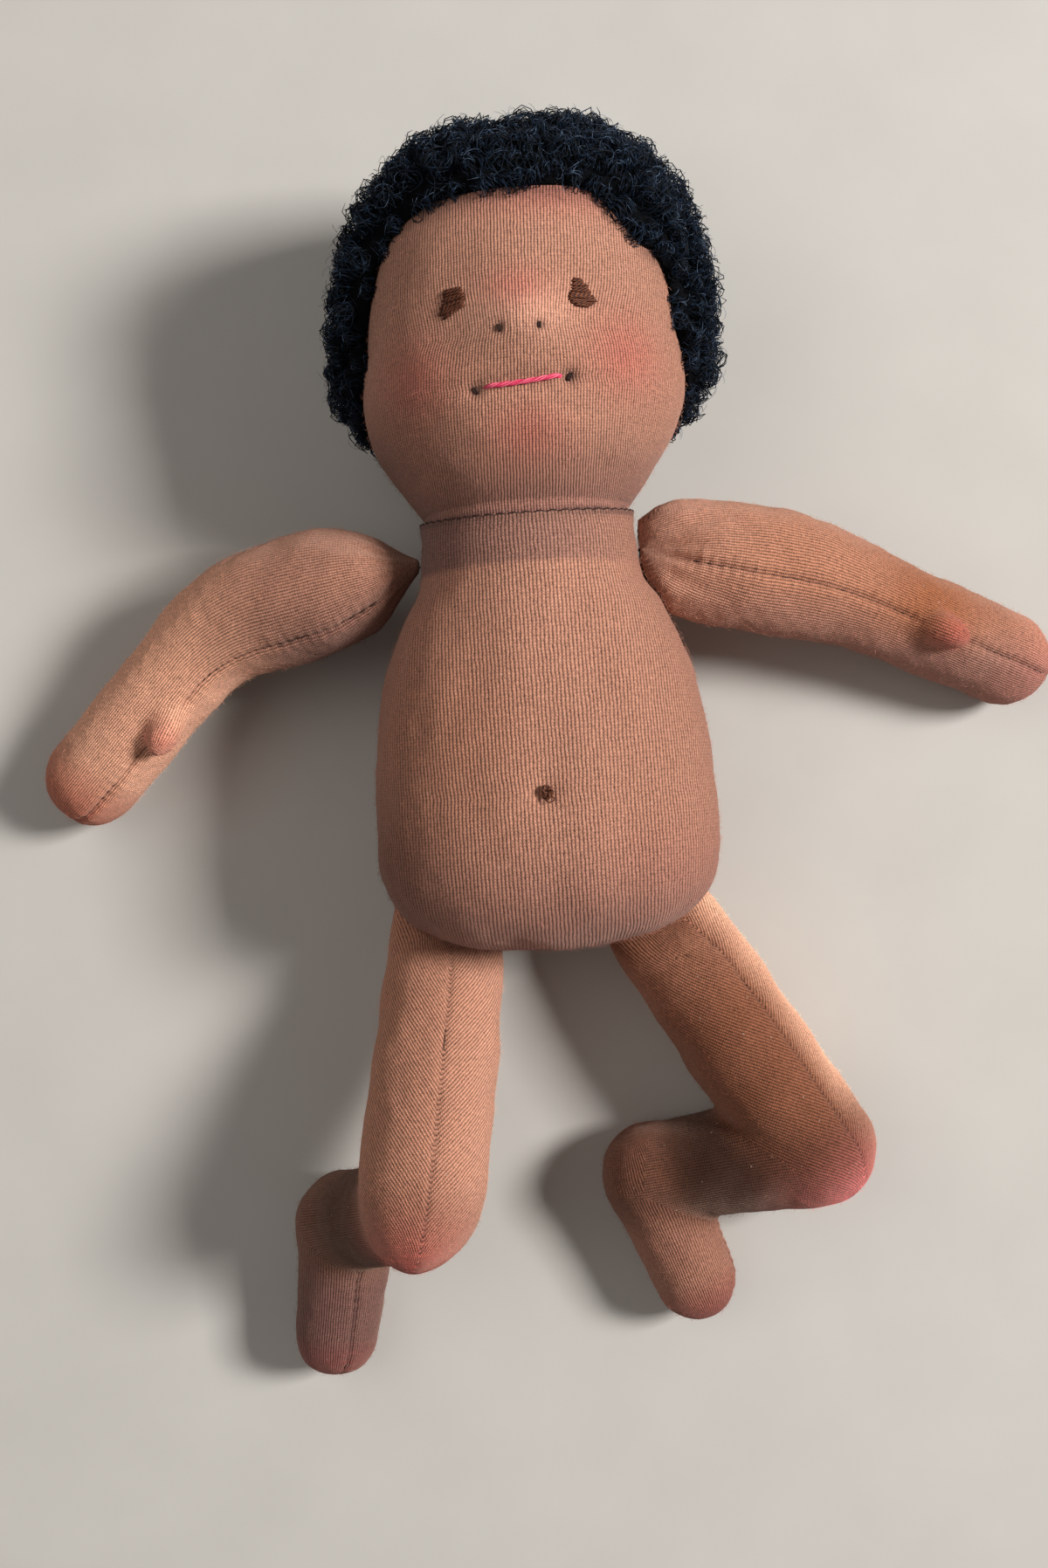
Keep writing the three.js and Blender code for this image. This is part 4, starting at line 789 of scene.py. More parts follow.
def near_turn(angle, about):
    """Angles brought within half a turn of others."""
    return about + (angle - about + np.pi) % TURN - np.pi


def rounded(distance, body, out, power=2.0):
    """Distance-like value for a tube with rounded ends: the power mean of how far out it is
    across and along, less one, in units of the tube's radius."""
    return (power_sum(distance / body, np.maximum(out, 0), power) - 1) * body


def smaller(a, b, width):
    """The smaller of two distances, rounded where they are nearly equal."""
    h = np.maximum(width - np.abs(a - b), 0) / width
    return np.minimum(a, b) - h * h * width / 4


print("two distances of 1 join at", smaller(1.0, 1.0, 2.0))

# %% The arm's line
deg = math.radians
SHOULDER_Y, STANDOFF, ARM_RADIUS, ELBOW_ARC = 39.3, 1.2, 13.2, 24.0
HAND_REACH, HAND_POWER, ROOT_LENGTH, ROOT_SLOPE = 9.5, 2.2, 2.5, 0.7
ARM_SHARES = [[0, 0.2], [0.03, 0.38], [0.062, 0.58], [0.104, 0.78], [0.146, 0.9], [0.21, 0.985],
              [0.27, 1], [0.36, 0.97], [0.46, 0.88], [0.58, 0.8], [0.73, 0.78], [1, 0.76]]
ROOT_BLUNT = [[0, 0.5], [0.03, 0.42], [0.062, 0.29], [0.104, 0.15], [0.146, 0.06], [0.21, 0],
              [1, 0]]
ARMS = {
    "right": dict(side=-1, length=97.0, upper=42.0, lowered=deg(9.5), bend=deg(33.5),
                  seam=deg(-46), root=0.0),
    "left": dict(side=1, length=93.0, upper=38.0, lowered=deg(11.5), bend=deg(12.5),
                 seam=deg(11), root=1.0),
}


def arm_radius(arm, s):
    """Radius along the arm by the table; before its start it narrows on to a point."""
    share = along(ARM_SHARES, s / arm["length"])
    return ARM_RADIUS * share + ROOT_SLOPE * np.clip(s, -ROOT_LENGTH, 0)


def root_width(arm, s, angle):
    """How much wider than it is deep one arm is where it starts."""
    blunt = along(ROOT_BLUNT, s / arm["length"])
    return arm["root"] * ARM_RADIUS * blunt * np.sin(angle) ** 2


def arm_line(arm, s):
    """The middle line at a length along it: straight, an arc at the elbow, straight on."""
    straight, bow = arm["upper"] - ELBOW_ARC / 2, ELBOW_ARC / arm["bend"]
    turned = fade(s, straight, ELBOW_ARC) * arm["bend"]
    before, after = np.minimum(s, straight), np.maximum(0, s - straight - ELBOW_ARC)
    x = before + bow * np.sin(turned) + after * np.cos(turned)
    y = -bow * (1 - np.cos(turned)) - after * np.sin(turned)
    return np.stack([x, y, 0 * x], -1), turned


def along_arm(arm, x, y):
    """How far along the middle line the nearest place is."""
    bend = arm["bend"]
    straight, bow = arm["upper"] - ELBOW_ARC / 2, ELBOW_ARC / bend
    angle = np.clip(np.arctan2(x - straight, y + bow), 0, bend)
    end_x, end_y = straight + bow * math.sin(bend), -bow * (1 - math.cos(bend))
    after = np.maximum(0, (x - end_x) * math.cos(bend) - (y - end_y) * math.sin(bend))
    after = np.where(angle >= bend - 1e-9, after, 0)
    return np.where(x < straight, x, straight + angle * bow + after)


def arm_frame(arm):
    """How the arm lies: pitched so the hand rests on the surface, lowered by its angle."""
    side, palm = arm["side"], arm["length"] - HAND_REACH
    drop = NECK_HEIGHT - (arm_radius(arm, palm) - REST_CUT)
    pitch = math.asin(drop / arm_line(arm, palm)[0][0])
    turn = turn_about(2, -side * arm["lowered"]) @ turn_about(1, side * pitch)
    pivot = np.array([side * (BAND_RADIUS + STANDOFF), SHOULDER_Y, NECK_HEIGHT])
    return turn, pivot + turn @ np.array([side * STANDOFF, 0, 0])


for name, arm in ARMS.items():
    print(name, "arm starts at", arm_frame(arm)[1].round(1))


# %% The arm's field
def arm_field(arm, local):
    """For points in the arm's own frame: its tube's field, how far along and the angle round."""
    mirrored = local * np.array([arm["side"], 1, 1])
    s = along_arm(arm, *mirrored.T[:2])
    centre, turned = arm_line(arm, s)
    off = mirrored - centre
    across = -arm["side"] * (off[:, 0] * np.sin(turned) + off[:, 1] * np.cos(turned))
    angle = np.arctan2(across, off[:, 2])
    body = arm_radius(arm, s) + root_width(arm, s, angle)
    out = (s - arm["length"] + HAND_REACH) / HAND_REACH
    return rounded(np.hypot(across, off[:, 2]), body, out, HAND_POWER), s, angle


def arm_place(arm, s, angle, radius):
    """The point in the arm's own frame at a length along, an angle round and a radius out."""
    centre, turned = arm_line(arm, s)
    side = arm["side"]
    across = np.stack([-np.sin(turned), -np.cos(turned) * side, 0 * turned], -1)
    out = np.array([0, 0, 1.0]) * np.cos(angle)[..., None] + across * np.sin(angle)[..., None]
    return centre * np.array([side, 1, 1]) + np.asarray(radius)[..., None] * out


hand = arm_place(ARMS["right"], ARMS["right"]["length"], 0, 0)
print("the right hand's end in the arm's own frame:", hand.round(1))

# %% How the legs lie
THIGH, SHIN, FOOT, HIP_SPREAD, HIP_HEIGHT, ROOT_CLEAR = 56.5, 35.3, 24.6, 22.6, 16.5, 0.45
THIGH_RADIUS, SHIN_RADIUS, ANKLE_RADIUS, TOE_RADIUS = 12.9, 12.1, 10.4, 8.8
KNEE_REACH, HEEL_REACH = 12.6, 10.8
THIGH_SHARES = [[0, 0.42], [0.04, 0.52], [0.09, 0.66], [0.16, 0.81], [0.24, 0.9], [0.35, 0.97],
                [0.6, 1], [0.85, 1], [1, 0.96]]
THIGH_WIDE = [[0, 0.8], [0.03, 0.9], [0.1, 0.95], [0.3, 0.98], [0.6, 1], [0.85, 1], [1, 0.96]]
LEGS = {
    "right": dict(
        side=-1, splay=deg(9), roll=deg(28), fold=deg(88), foot_turn=deg(-12), seam=deg(19),
        knee=9.8, point=1.85, knee_reach=17.5, cloth=mix(mix(TAN, ORANGE, 0.3), PALE, 0.3),
        # The paler strip beyond the seam is partly painted light.
        strip=(PALE, 0.5), foot=(mix(MAUVE, SHADOW, 0.6), 0.88), blush=mix(BLUSH, SHADOW, 0.15)),
    "left": dict(
        side=1, splay=deg(30.3), roll=deg(78), fold=deg(69), foot_heading=deg(-12.5),
        seam=deg(43), knee=SHIN_RADIUS, point=2.0, knee_reach=KNEE_REACH,
        # The left leg's cloth is mixed with shadow as painted shade, and its bright strip beyond
        # the seam is painted light.
        cloth=mix(mix(ORANGE, TAN, 0.05), SHADOW, 0.48), strip=(linear(252, 192, 160), 1.0),
        foot=(mix(PALE, MAUVE, 0.5), 0.45), blush=linear(248, 128, 132)),
}


def hip_place(side):
    """Where the leg is sewn: on the trunk's rounded bottom."""
    _, front, back, _ = torso_section(BELLY_LINE)
    down = ((front + back) / 2 - HIP_HEIGHT) / ((front - back) / 2)
    girth = power_sum(HIP_SPREAD / BELLY_HALF, down, BELLY_POWER)
    out = (1 - girth ** BOTTOM_POWER) ** (1 / BOTTOM_POWER)
    y = BELLY_LINE - (BELLY_LINE - BOTTOM) * out - 1.15 * STANDOFF
    return np.array([side * HIP_SPREAD, y, HIP_HEIGHT])


def leg_frame(leg):
    """Lifts the thigh until the heel lies on the surface, then turns the foot till the toe does.
    Returns the leg's matrix, its start and the thigh, shin and foot."""
    hip, roll, fold, splay = hip_place(leg["side"]), leg["roll"], leg["fold"], leg["splay"]
    heel, toe = ANKLE_RADIUS - REST_CUT, TOE_RADIUS - REST_CUT
    up, down = THIGH - SHIN * math.cos(fold), SHIN * math.sin(fold) * math.cos(roll)
    lift = math.atan2(down, up) + math.asin((heel - hip[2]) / math.hypot(up, down))
    rise, front_rise = math.sin(lift), math.cos(roll) * math.cos(lift)
    side_rise, wanted = math.sin(roll) * math.cos(lift), (toe - heel) / FOOT
    if "foot_turn" in leg:
        turn = leg["foot_turn"]
        plane = (wanted - math.sin(turn) * side_rise) / math.cos(turn)
        heading = math.atan2(front_rise, rise) - math.acos(plane / math.hypot(rise, front_rise))
    else:
        heading = leg["foot_heading"]
        turn = math.asin((wanted - rise * math.cos(heading) - front_rise * math.sin(heading))
                         / side_rise)
    level = math.cos(lift)
    way = np.array([leg["side"] * math.sin(splay) * level, -math.cos(splay) * level, rise])
    top = unit(np.array([0, 0, 1.0]) - way * way[2])
    front = top * math.cos(roll) - np.cross(way, top) * math.sin(roll)
    shin_way = np.array([-math.cos(fold), -math.sin(fold), 0])
    knee = np.array([THIGH, 0, 0])
    foot_way = np.array([math.cos(heading) * math.cos(turn), math.sin(heading) * math.cos(turn),
                         math.sin(turn)])
    parts = [
        dict(start=0 * knee, way=np.array([1.0, 0, 0]), up=np.array([0, 1.0, 0]), length=THIGH,
             radii=(THIGH_RADIUS, THIGH_RADIUS), reach=(0.01, KNEE_REACH)),
        dict(start=knee, way=shin_way, up=np.array([-math.sin(fold), math.cos(fold), 0]),
             length=SHIN, radii=(leg["knee"], ANKLE_RADIUS), reach=(leg["knee"], ANKLE_RADIUS)),
        dict(start=knee + SHIN * shin_way, way=foot_way,
             up=np.array([-math.sin(heading), math.cos(heading), 0]),
             length=FOOT, radii=(ANKLE_RADIUS, TOE_RADIUS), reach=(HEEL_REACH, TOE_RADIUS)),
    ]
    return np.stack([way, front, np.cross(way, front)], 1), hip + STANDOFF * way, parts


for name, leg in LEGS.items():
    print(name, "leg starts at", leg_frame(leg)[1].round(1))


# %% The leg's field
def thigh_girth(share):
    """The thigh's thin and wide radius; it is flat and wide where it is sewn on."""
    return THIGH_RADIUS * along(THIGH_SHARES, share), THIGH_RADIUS * along(THIGH_WIDE, share)


def leg_fields(leg, parts, local, from_trunk):
    """For points in the leg's own frame: thigh, shin and foot, each as (field, along, angle).
    The thigh's root follows the trunk's cloth, by how far the points lie from it."""
    found = []
    for part in parts:
        off = local - part["start"]
        s = off @ part["way"]
        u, w = off @ part["up"], off @ np.cross(part["way"], part["up"])
        share = fade(s, 0, part["length"])
        if part is parts[0]:
            thin, wide = thigh_girth(np.maximum(share, np.clip(from_trunk / THIGH, 0, 0.12)))
            level = w * math.cos(leg["roll"]) - u * math.sin(leg["roll"])
            rise = u * math.cos(leg["roll"]) + w * math.sin(leg["roll"])
            end = (s - THIGH - KNEE_REACH) / leg["knee_reach"] + 1
            field = rounded(np.hypot(level * thin / wide, rise), thin, end, leg["point"])
            field = np.maximum(field, ROOT_CLEAR - from_trunk)
        else:
            out = np.maximum(-s / part["reach"][0], (s - part["length"]) / part["reach"][1])
            field = rounded(np.hypot(u, w), mix(*part["radii"], share), out)
        found.append((field, s, np.arctan2(w, u)))
    return found


print("the thigh's thin and wide radius at its root:", *(r.round(1) for r in thigh_girth(0)))


# %% A rough mesh pulled on to a field
def rough_mesh(lofts, voxel):
    """Overlapping lofts become one skin of small even quads by the Remesh modifier."""
    points, faces, count = [], [[], []], 0
    for rows in lofts:
        p, groups = capped_rings(rows)
        for group, kept in zip(groups, faces):
            kept.append(group + count)
        points.append(p)
        count += len(p)
    scrap = make_piece("rough", np.concatenate(points), [np.concatenate(kept) for kept in faces])
    remesh = scrap.modifiers.new("voxels", "REMESH")
    remesh.mode, remesh.voxel_size = "VOXEL", voxel * MM
    shown = scrap.evaluated_get(bpy.context.evaluated_depsgraph_get())
    mesh, old = bpy.data.meshes.new_from_object(shown), scrap.data
    p = read_mesh(mesh.vertices, "co", 3).astype(float) / MM
    corner = read_mesh(mesh.loops, "vertex_index", 1, np.int32)
    bpy.data.objects.remove(scrap)
    for spent in (mesh, old):
        bpy.data.meshes.remove(spent)
    return p, corner.reshape(-1, 4)


def gradient(field, points, step=0.04):
    """How fast a field grows along each axis."""
    return np.stack([(field(points + step * e) - field(points - step * e)) / (2 * step)
                     for e in np.eye(3)], -1)


def pulled_on(points, field, rounds=4):
    """Newton steps that bring the points to where the field is nought."""
    for _ in range(rounds):
        slope = gradient(field, points)
        step = field(points) / np.maximum((slope ** 2).sum(-1), 0.2)
        points = points - slope * step[:, None]
    return points


def evened(points, faces, rounds=2):
    """Each point moves half way to the middle of its faces, which spreads them evenly."""
    size = len(points)
    count = sum(np.bincount(faces[:, k], minlength=size) for k in range(4))
    for _ in range(rounds):
        middle = points[faces].mean(1)
        total = [sum(np.bincount(faces[:, k], row, size) for k in range(4)) for row in middle.T]
        points = mix(points, np.stack(total, 1) / count[:, None], 0.5)
    return points


def sewn_line(gap, s, depth, width, pucker, spacing, reach):
    """A groove of a depth and width, and puckers of a height and spacing that reach beside it."""
    return pucker * np.cos(TURN * s / spacing) * bell(gap, reach) - depth * bell(gap, width)


ball = lambda p: np.linalg.norm(p, axis=-1) - 1
print("a place pulled on to a ball:", pulled_on(np.array([[0, 0, 1.7]]), ball).round(2))

# %% The thumb
THUMB_LENGTH, THUMB_RADIUS, THUMB_SHARE, THUMB_OUT, THUMB_JOIN = 5.8, 3.4, 0.675, 1.0, 2.8


def thumb_axes(arm):
    """The thumb's middle and its own three directions."""
    s, seam = THUMB_SHARE * arm["length"], arm["seam"]
    middle, rim = (arm_place(arm, s, seam, radius) for radius in (0.0, 1.0))
    out, forward = rim - middle, unit(arm_place(arm, s + 0.5, seam, 0.0) - middle)
    way = unit(0.5 * out + 0.87 * forward)
    aside = unit(np.cross(way, out))
    return middle + out * (arm_radius(arm, s) + THUMB_OUT), way, aside, np.cross(aside, way)


def thumb_field(arm, local):
    """A small egg on the seam's side, leaning toward the hand's end."""
    centre, way, aside, up = thumb_axes(arm)
    off = local - centre
    length, across, rise = off @ way, off @ aside, off @ up
    field = rounded(np.hypot(across, rise) + 1e-6, THUMB_RADIUS, np.abs(length) / THUMB_LENGTH)
    return field, length, np.arctan2(across, rise)


for name, arm in ARMS.items():
    print(name, "thumb's middle in the arm's own frame:", thumb_axes(arm)[0].round(1))


# %% The arms' colours
def arm_tint(arm, world, s, angle):
    """Orange upper arm and mauve underside on the left, painted light on its hand's tip. On the
    right a paler forearm, partly painted light, and painted shade underneath. Both are painted
    darker towards the floor as shade.
    """
    x, y, z = world.T
    tip, back = fade(s, arm["length"] - 16, 16), 1 - fade(z, 10, 20)
    if arm["side"] > 0:
        under = fade(SHOULDER_Y - 4 - y - 0.2 * (x - 23), 0, 9)
        return painted(mix(mix(TAN, ORANGE, 0.5), PALE, 0.2), [
            # Mauve underside; darker towards the floor as painted shade.
            (mix(MAUVE, PALE, 0.3), 0.8 * under), (MAUVE, 0.3 * back),
            (mix(TAN, PALE, 0.75), 0.8 * bell(s, 14)),
            (mix(ORANGE, SHADOW, 0.15), 0.95 * bell(s - 60, 12) * (1 - under)),
            # Painted light on the hand's tip, with pink chalk.
            (PAINTED_LIGHT, 0.6 * tip * (1 - under)), (BLUSH, 0.4 * tip * (1 - 0.3 * under))])
    under = np.clip(-np.sin(angle), 0, 1) * bell(s - 18, 20)
    return painted(mix(TAN, PALE, 0.08), [
        # Painted shade towards the floor and under the arm.
        (MAUVE, 0.4 * back), (mix(MAUVE, SHADOW, 0.6), 0.68 * under),
        # The paler forearm is partly its own tone and partly painted light.
        (PAINTED_LIGHT, 0.85 * fade(s, 26, 22) * (1 - 0.95 * tip)),
        (ORANGE, 0.78 * tip), (BLUSH, 0.45 * tip)])


# %% The arms' covers
SEAM_DEPTH, ARM_VOXEL, ARM_RINGS, TIP_RINGS, THUMB_RINGS = 0.6, 0.55, 40, 10, 14
ARM_LUMPS = (0.3, 14, 21), (0.08, 5, 22)
RING = np.linspace(0, TURN, 33)[:-1][None]


def arm_lofts(arm):
    """A plain tube and an egg for the thumb, to start the rough mesh from."""
    palm = arm["length"] - HAND_REACH
    s = np.concatenate([np.linspace(-ROOT_LENGTH, palm, ARM_RINGS),
                        palm + HAND_REACH * np.sin(np.linspace(0, 1.5, TIP_RINGS))])[:, None]
    size = arm_radius(arm, s) * np.sqrt(1 - fade(s, palm, HAND_REACH) ** 2)
    t = np.linspace(3.04, 0.1, THUMB_RINGS)[:, None, None]
    centre, way, aside, up = thumb_axes(arm)
    out = np.cos(RING)[..., None] * up + np.sin(RING)[..., None] * aside
    egg = centre + THUMB_LENGTH * np.cos(t) * way + THUMB_RADIUS * np.sin(t) * out
    return [arm_place(arm, s, RING, size), egg]


def build_arm(name):
    """Tube and thumb as one field; the sewn line is a groove with puckers either side of it."""
    arm = ARMS[name]
    turn, place = arm_frame(arm)
    points, faces = rough_mesh(arm_lofts(arm), ARM_VOXEL)

    def field(p):
        """The arm and its thumb, cut clear of the trunk's cloth."""
        whole = smaller(arm_field(arm, p)[0], thumb_field(arm, p)[0], THUMB_JOIN)
        return np.maximum(whole, ROOT_CLEAR - trunk_gap(p @ turn.T + place))

    for _ in range(2):
        points = pulled_on(evened(points, faces), field)
    _, s, angle = arm_field(arm, points)
    seam = arm["seam"]
    gap = np.abs(near_turn(angle, seam) - seam) * arm_radius(arm, s)
    sewn = np.clip((s - 2) / 8, 0.3, 1) * (s < arm["length"] - 1)
    sewn = sewn * fade(thumb_field(arm, points)[0], 0, 1.5)
    relief = wool_lumps(points, *ARM_LUMPS)
    relief += sewn * sewn_line(gap, s, SEAM_DEPTH, 0.55, 0.13, 2.1, 2.6)
    relief += sewn * 0.15 * bell(gap - 1.8, 1.2)
    relief += 0.3 * np.cos(angle * 13 + 0.6 * np.sin(angle * 3)) * bell(s, 9) * fade(s, 0, 2)
    points = points + unit(gradient(field, points)) * (relief * fade(s, 0, 4))[:, None]
    world = lying_flat(points @ turn.T + place)
    around = ARM_RADIUS * 0.95 * (near_turn(angle[faces], angle[faces[:, :1]]) - seam)
    cloth = np.stack([around, s[faces]], -1)
    thumb, length, turned = thumb_field(arm, points)
    on_thumb = (thumb < arm_field(arm, points)[0])[faces[:, 0]]
    own = faces[on_thumb]
    around = near_turn(turned[own], turned[own[:, :1]]) * THUMB_RADIUS
    cloth[on_thumb] = np.stack([around, length[own]], -1)
    pink = bell(thumb, 1.2) * (thumb < 2) * fade(length, -THUMB_LENGTH / 2, THUMB_LENGTH)
    # Painted shadow in the seam's groove and where the arm meets the trunk; the thumb is chalked
    # pink.
    shade = painted(arm_tint(arm, world, s, angle), [
        (SHADOW, 0.35 * bell(gap, 0.4) * sewn * (1 - pink)), (SHADOW, 0.3 * bell(s, 3)),
        (BLUSH, 0.45 * pink)])
    return make_piece(f"arm_cover_{name}", world, [faces], [cloth], shade)


for name in SIDES:
    cover = dress(build_arm(name), limb_knit, f"arm_{name}", "limb_knit", f"arm_skin_{name}")
    print(cover.name, "faces:", len(cover.data.polygons))


# %% Where a leg's mesh starts, and its cloth
BIAS = deg(38)
LOFT_RADIUS, END_RINGS, LOFT_RINGS, ROOT_SPAN = 11.3, 8, 12, (-7, -1)


def leg_loft(part, is_thigh):
    """A plain rounded tube to start the rough mesh from."""
    turn = np.linspace(1.45, 0, END_RINGS)
    start = -part["reach"][0] * np.sin(turn)
    end = part["length"] + part["reach"][1] * np.sin(turn[::-1])
    s = np.concatenate([start, np.linspace(0, part["length"], LOFT_RINGS + 2)[1:-1], end])
    body = np.maximum(mix(*part["radii"], fade(s, 0, part["length"])), LOFT_RADIUS)
    girth = np.concatenate([np.cos(turn), np.ones(LOFT_RINGS), np.cos(turn[::-1])])
    if is_thigh:
        body = body * along(THIGH_WIDE, s / part["length"])
        girth[:END_RINGS] = 1
        s[:END_RINGS] = np.linspace(*ROOT_SPAN, END_RINGS)
    out = (part["up"] * np.cos(RING)[..., None]
           + np.cross(part["way"], part["up"]) * np.sin(RING)[..., None])
    return part["start"] + s[:, None, None] * part["way"] + (body * girth)[:, None, None] * out


def leg_cloth(leg, found, faces, nearest):
    """Each face takes its cloth grid from the part it lies on. The thigh's is cut on the bias,
    mirrored either side of its seam."""
    cloth = np.zeros((len(faces), 4, 2))
    for k, (_, s, angle) in enumerate(found):
        mine = nearest[faces[:, 0]] == k
        own = faces[mine]
        about = leg["seam"] if k == 0 else 0.0
        turned = near_turn(angle[own], near_turn(angle[own[:, :1]], about)) - about
        u, v = turned * (THIGH_RADIUS, SHIN_RADIUS, ANKLE_RADIUS)[k], s[own]
        if k == 0:
            u = np.abs(u)
            u, v = u * math.cos(BIAS) + v * math.sin(BIAS), v * math.cos(BIAS) - u * math.sin(BIAS)
        cloth[mine] = np.stack([u, v], -1)
    return cloth


print("rings that a leg's mesh starts from:", 3 * (2 * END_RINGS + LOFT_RINGS))


# %% The legs' covers
LEG_VOXEL, LEG_JOIN, WOOL_DEPTH, WOOL_VOXEL = 0.6, 2.4, 1.15, 1.5
LEG_LUMPS = (0.28, 14), (0.08, 5)  # height and size


def build_leg(name):
    """Thigh, shin and foot as one field. The wool inside is the same field, further in."""
    leg = LEGS[name]
    turn, place, parts = leg_frame(leg)
    lofts = [leg_loft(part, part is parts[0]) for part in parts]
    points, faces = rough_mesh(lofts, LEG_VOXEL)

    def parts_at(p):
        """The three fields, with how far the points lie from the trunk."""
        return leg_fields(leg, parts, p, trunk_gap(p @ turn.T + place))

    def field(p):
        """The three parts as one, joined softly."""
        thigh, shin, foot = (part[0] for part in parts_at(p))
        return smaller(smaller(thigh, shin, LEG_JOIN), foot, LEG_JOIN)

    for _ in range(2):
        points = pulled_on(evened(points, faces), field)
    found = parts_at(points)
    fields = np.stack([part[0] for part in found])
    nearest = np.argmin(fields, 0)
    (thigh_s, thigh_angle), (foot_s, foot_angle) = found[0][1:], found[2][1:]
    from_seam = near_turn(thigh_angle, leg["seam"]) - leg["seam"]
    gap = np.abs(from_seam) * thigh_girth(thigh_s / THIGH)[0]
    foot_gap = np.abs(foot_angle) * ANKLE_RADIUS
    on_thigh = (nearest == 0) * fade(thigh_s, 1, 6)
    on_foot = (nearest == 2) * fade(foot_s, -4, 4)
    coarse, fine = LEG_LUMPS
    relief = wool_lumps(points, (*coarse, 31 + leg["side"]), (*fine, 33))
    relief += on_thigh * sewn_line(gap, thigh_s, 0.3, 0.5, 0.12, 1.8, 2.2)
    relief += on_foot * sewn_line(foot_gap, foot_s, SEAM_DEPTH, 0.6, 0.16, 2.2, 2.6)
    relief += 0.07 * np.cos(thigh_angle * 15) * bell(thigh_s, 6) * (nearest == 0)
    points = points + unit(gradient(field, points)) * (relief * fade(thigh_s, 0, 4))[:, None]
    world = lying_flat(points @ turn.T + place)
    knee_end = parts[1]["start"] + parts[0]["way"] * KNEE_REACH * 0.8
    knee = bell(np.linalg.norm(points - knee_end, axis=1), 10)
    toe = fade(foot_s, FOOT - 2, 9) * (nearest == 2)
    near = np.exp(-fields / 1.5)
    thigh_share, shin_share, foot_share = near / near.sum(0)
    strip = thigh_share * np.clip(-1.2 * from_seam, 0, 1)
    shade = painted(leg["cloth"], [
        # Darker towards the floor: painted shade.
        (MAUVE, 0.5 * (1 - fade(world[:, 2], 0, 16))),
        (mix(PALE, ORANGE, 0.4), 0.3 * bell(thigh_s - 6, 9) * thigh_share * (1 - strip)),
        # The strip beyond the seam on the lit side: painted light.
        (leg["strip"][0], leg["strip"][1] * strip),
        (leg["foot"][0], leg["foot"][1] * foot_share),
        # A painted shadow over the shin.
        (PAINTED_SHIN_SHADOW, 0.9 * shin_share), (leg["blush"], 0.95 * knee),
        # The toe darkens to a deep pink; thin painted shadows run in the seams' grooves.
        (mix(BLUSH, SHADOW, 0.6), 0.9 * toe), (SHADOW, 0.3 * bell(gap, 0.35) * on_thigh),
        (SHADOW, 0.4 * bell(foot_gap, 0.5) * on_foot)])
    cloth = leg_cloth(leg, found, faces, nearest)
    core, core_faces = rough_mesh(lofts, WOOL_VOXEL)
    core = pulled_on(core, lambda p: field(p) + WOOL_DEPTH) @ turn.T + place
    wool = make_piece(f"leg_wool_{name}", lying_flat(core, WOOL_DEPTH * 0.7), [core_faces])
    return make_piece(f"leg_cover_{name}", world, [faces], [cloth], shade), wool


leg_wool = {}
for name in SIDES:
    cover, leg_wool[name] = build_leg(name)
    dress(cover, limb_knit, f"leg_{name}", "limb_knit", f"leg_skin_{name}")
    print(cover.name, "faces:", len(cover.data.polygons))

# %% [markdown]
# ## Floss and thread
# The eyes are satin stitch, the mouth is one twisted strand, and the sewing shows as short dashes.
# Curves with a bevel would do, but one array of thin tubes keeps each strand's twist in its own
# coordinates, so the material can wind fibres round it.

# %% Strands as one piece
SEWING = dark_thread, "sewing_thread"
BROWN = brown_floss, "brown_floss"


def thread_piece(name, paths, radius, sides, body, finish, *replaced, reference=(0, 0, 1)):
    """Paths (strands, steps, 3) in millimetres become one piece that rides on a body."""
    points, faces, uv = tubes(np.asarray(paths, float), radius, sides, reference)
    material, slot = finish
    return dress(make_piece(name, points, faces, uv), material, body, slot, *replaced)


def tapered(count, share):
    """Radii that shrink toward both ends of a strand, down to a share."""
    t = np.linspace(-1, 1, count)
    return share + (1 - share) * np.sqrt(np.maximum(0, 1 - t ** 4))


def led_off(start, *moves):
    """Paths that leave their starts by an amount (starts, steps) along each direction."""
    return start[..., None, :] + sum(much[..., None] * way[..., None, :] for much, way in moves)


print("a strand's radius from end to end:", tapered(5, 0.5).round(2))

# %% Eyes in satin stitch
EYE_STRANDS, EYE_STEPS, EYE_RADIUS = 19, 21, 0.22
EYE_EDGES = {  # the outline's two edges from the top down, from the eye's middle
    "right": ([(-1.3, 2.6), (-1.5, 1.4), (-1.9, 0.1), (-2.7, -1.6), (-1.7, -2.8)],
              [(2.0, 2.7), (2.6, 1.7), (2.8, 0.7), (2.6, -0.3), (2.4, -0.8)]),
    "left": ([(-1.2, 2.8), (-1.8, 1.9), (-2.1, 0.9), (-2.7, -0.5), (-2.7, -1.5), (-1.3, -2.2)],
             [(-0.2, 2.7), (0.9, 1.9), (1.7, 0.8), (2.3, -0.6), (2.5, -1.4), (0.8, -2.5)]),
}


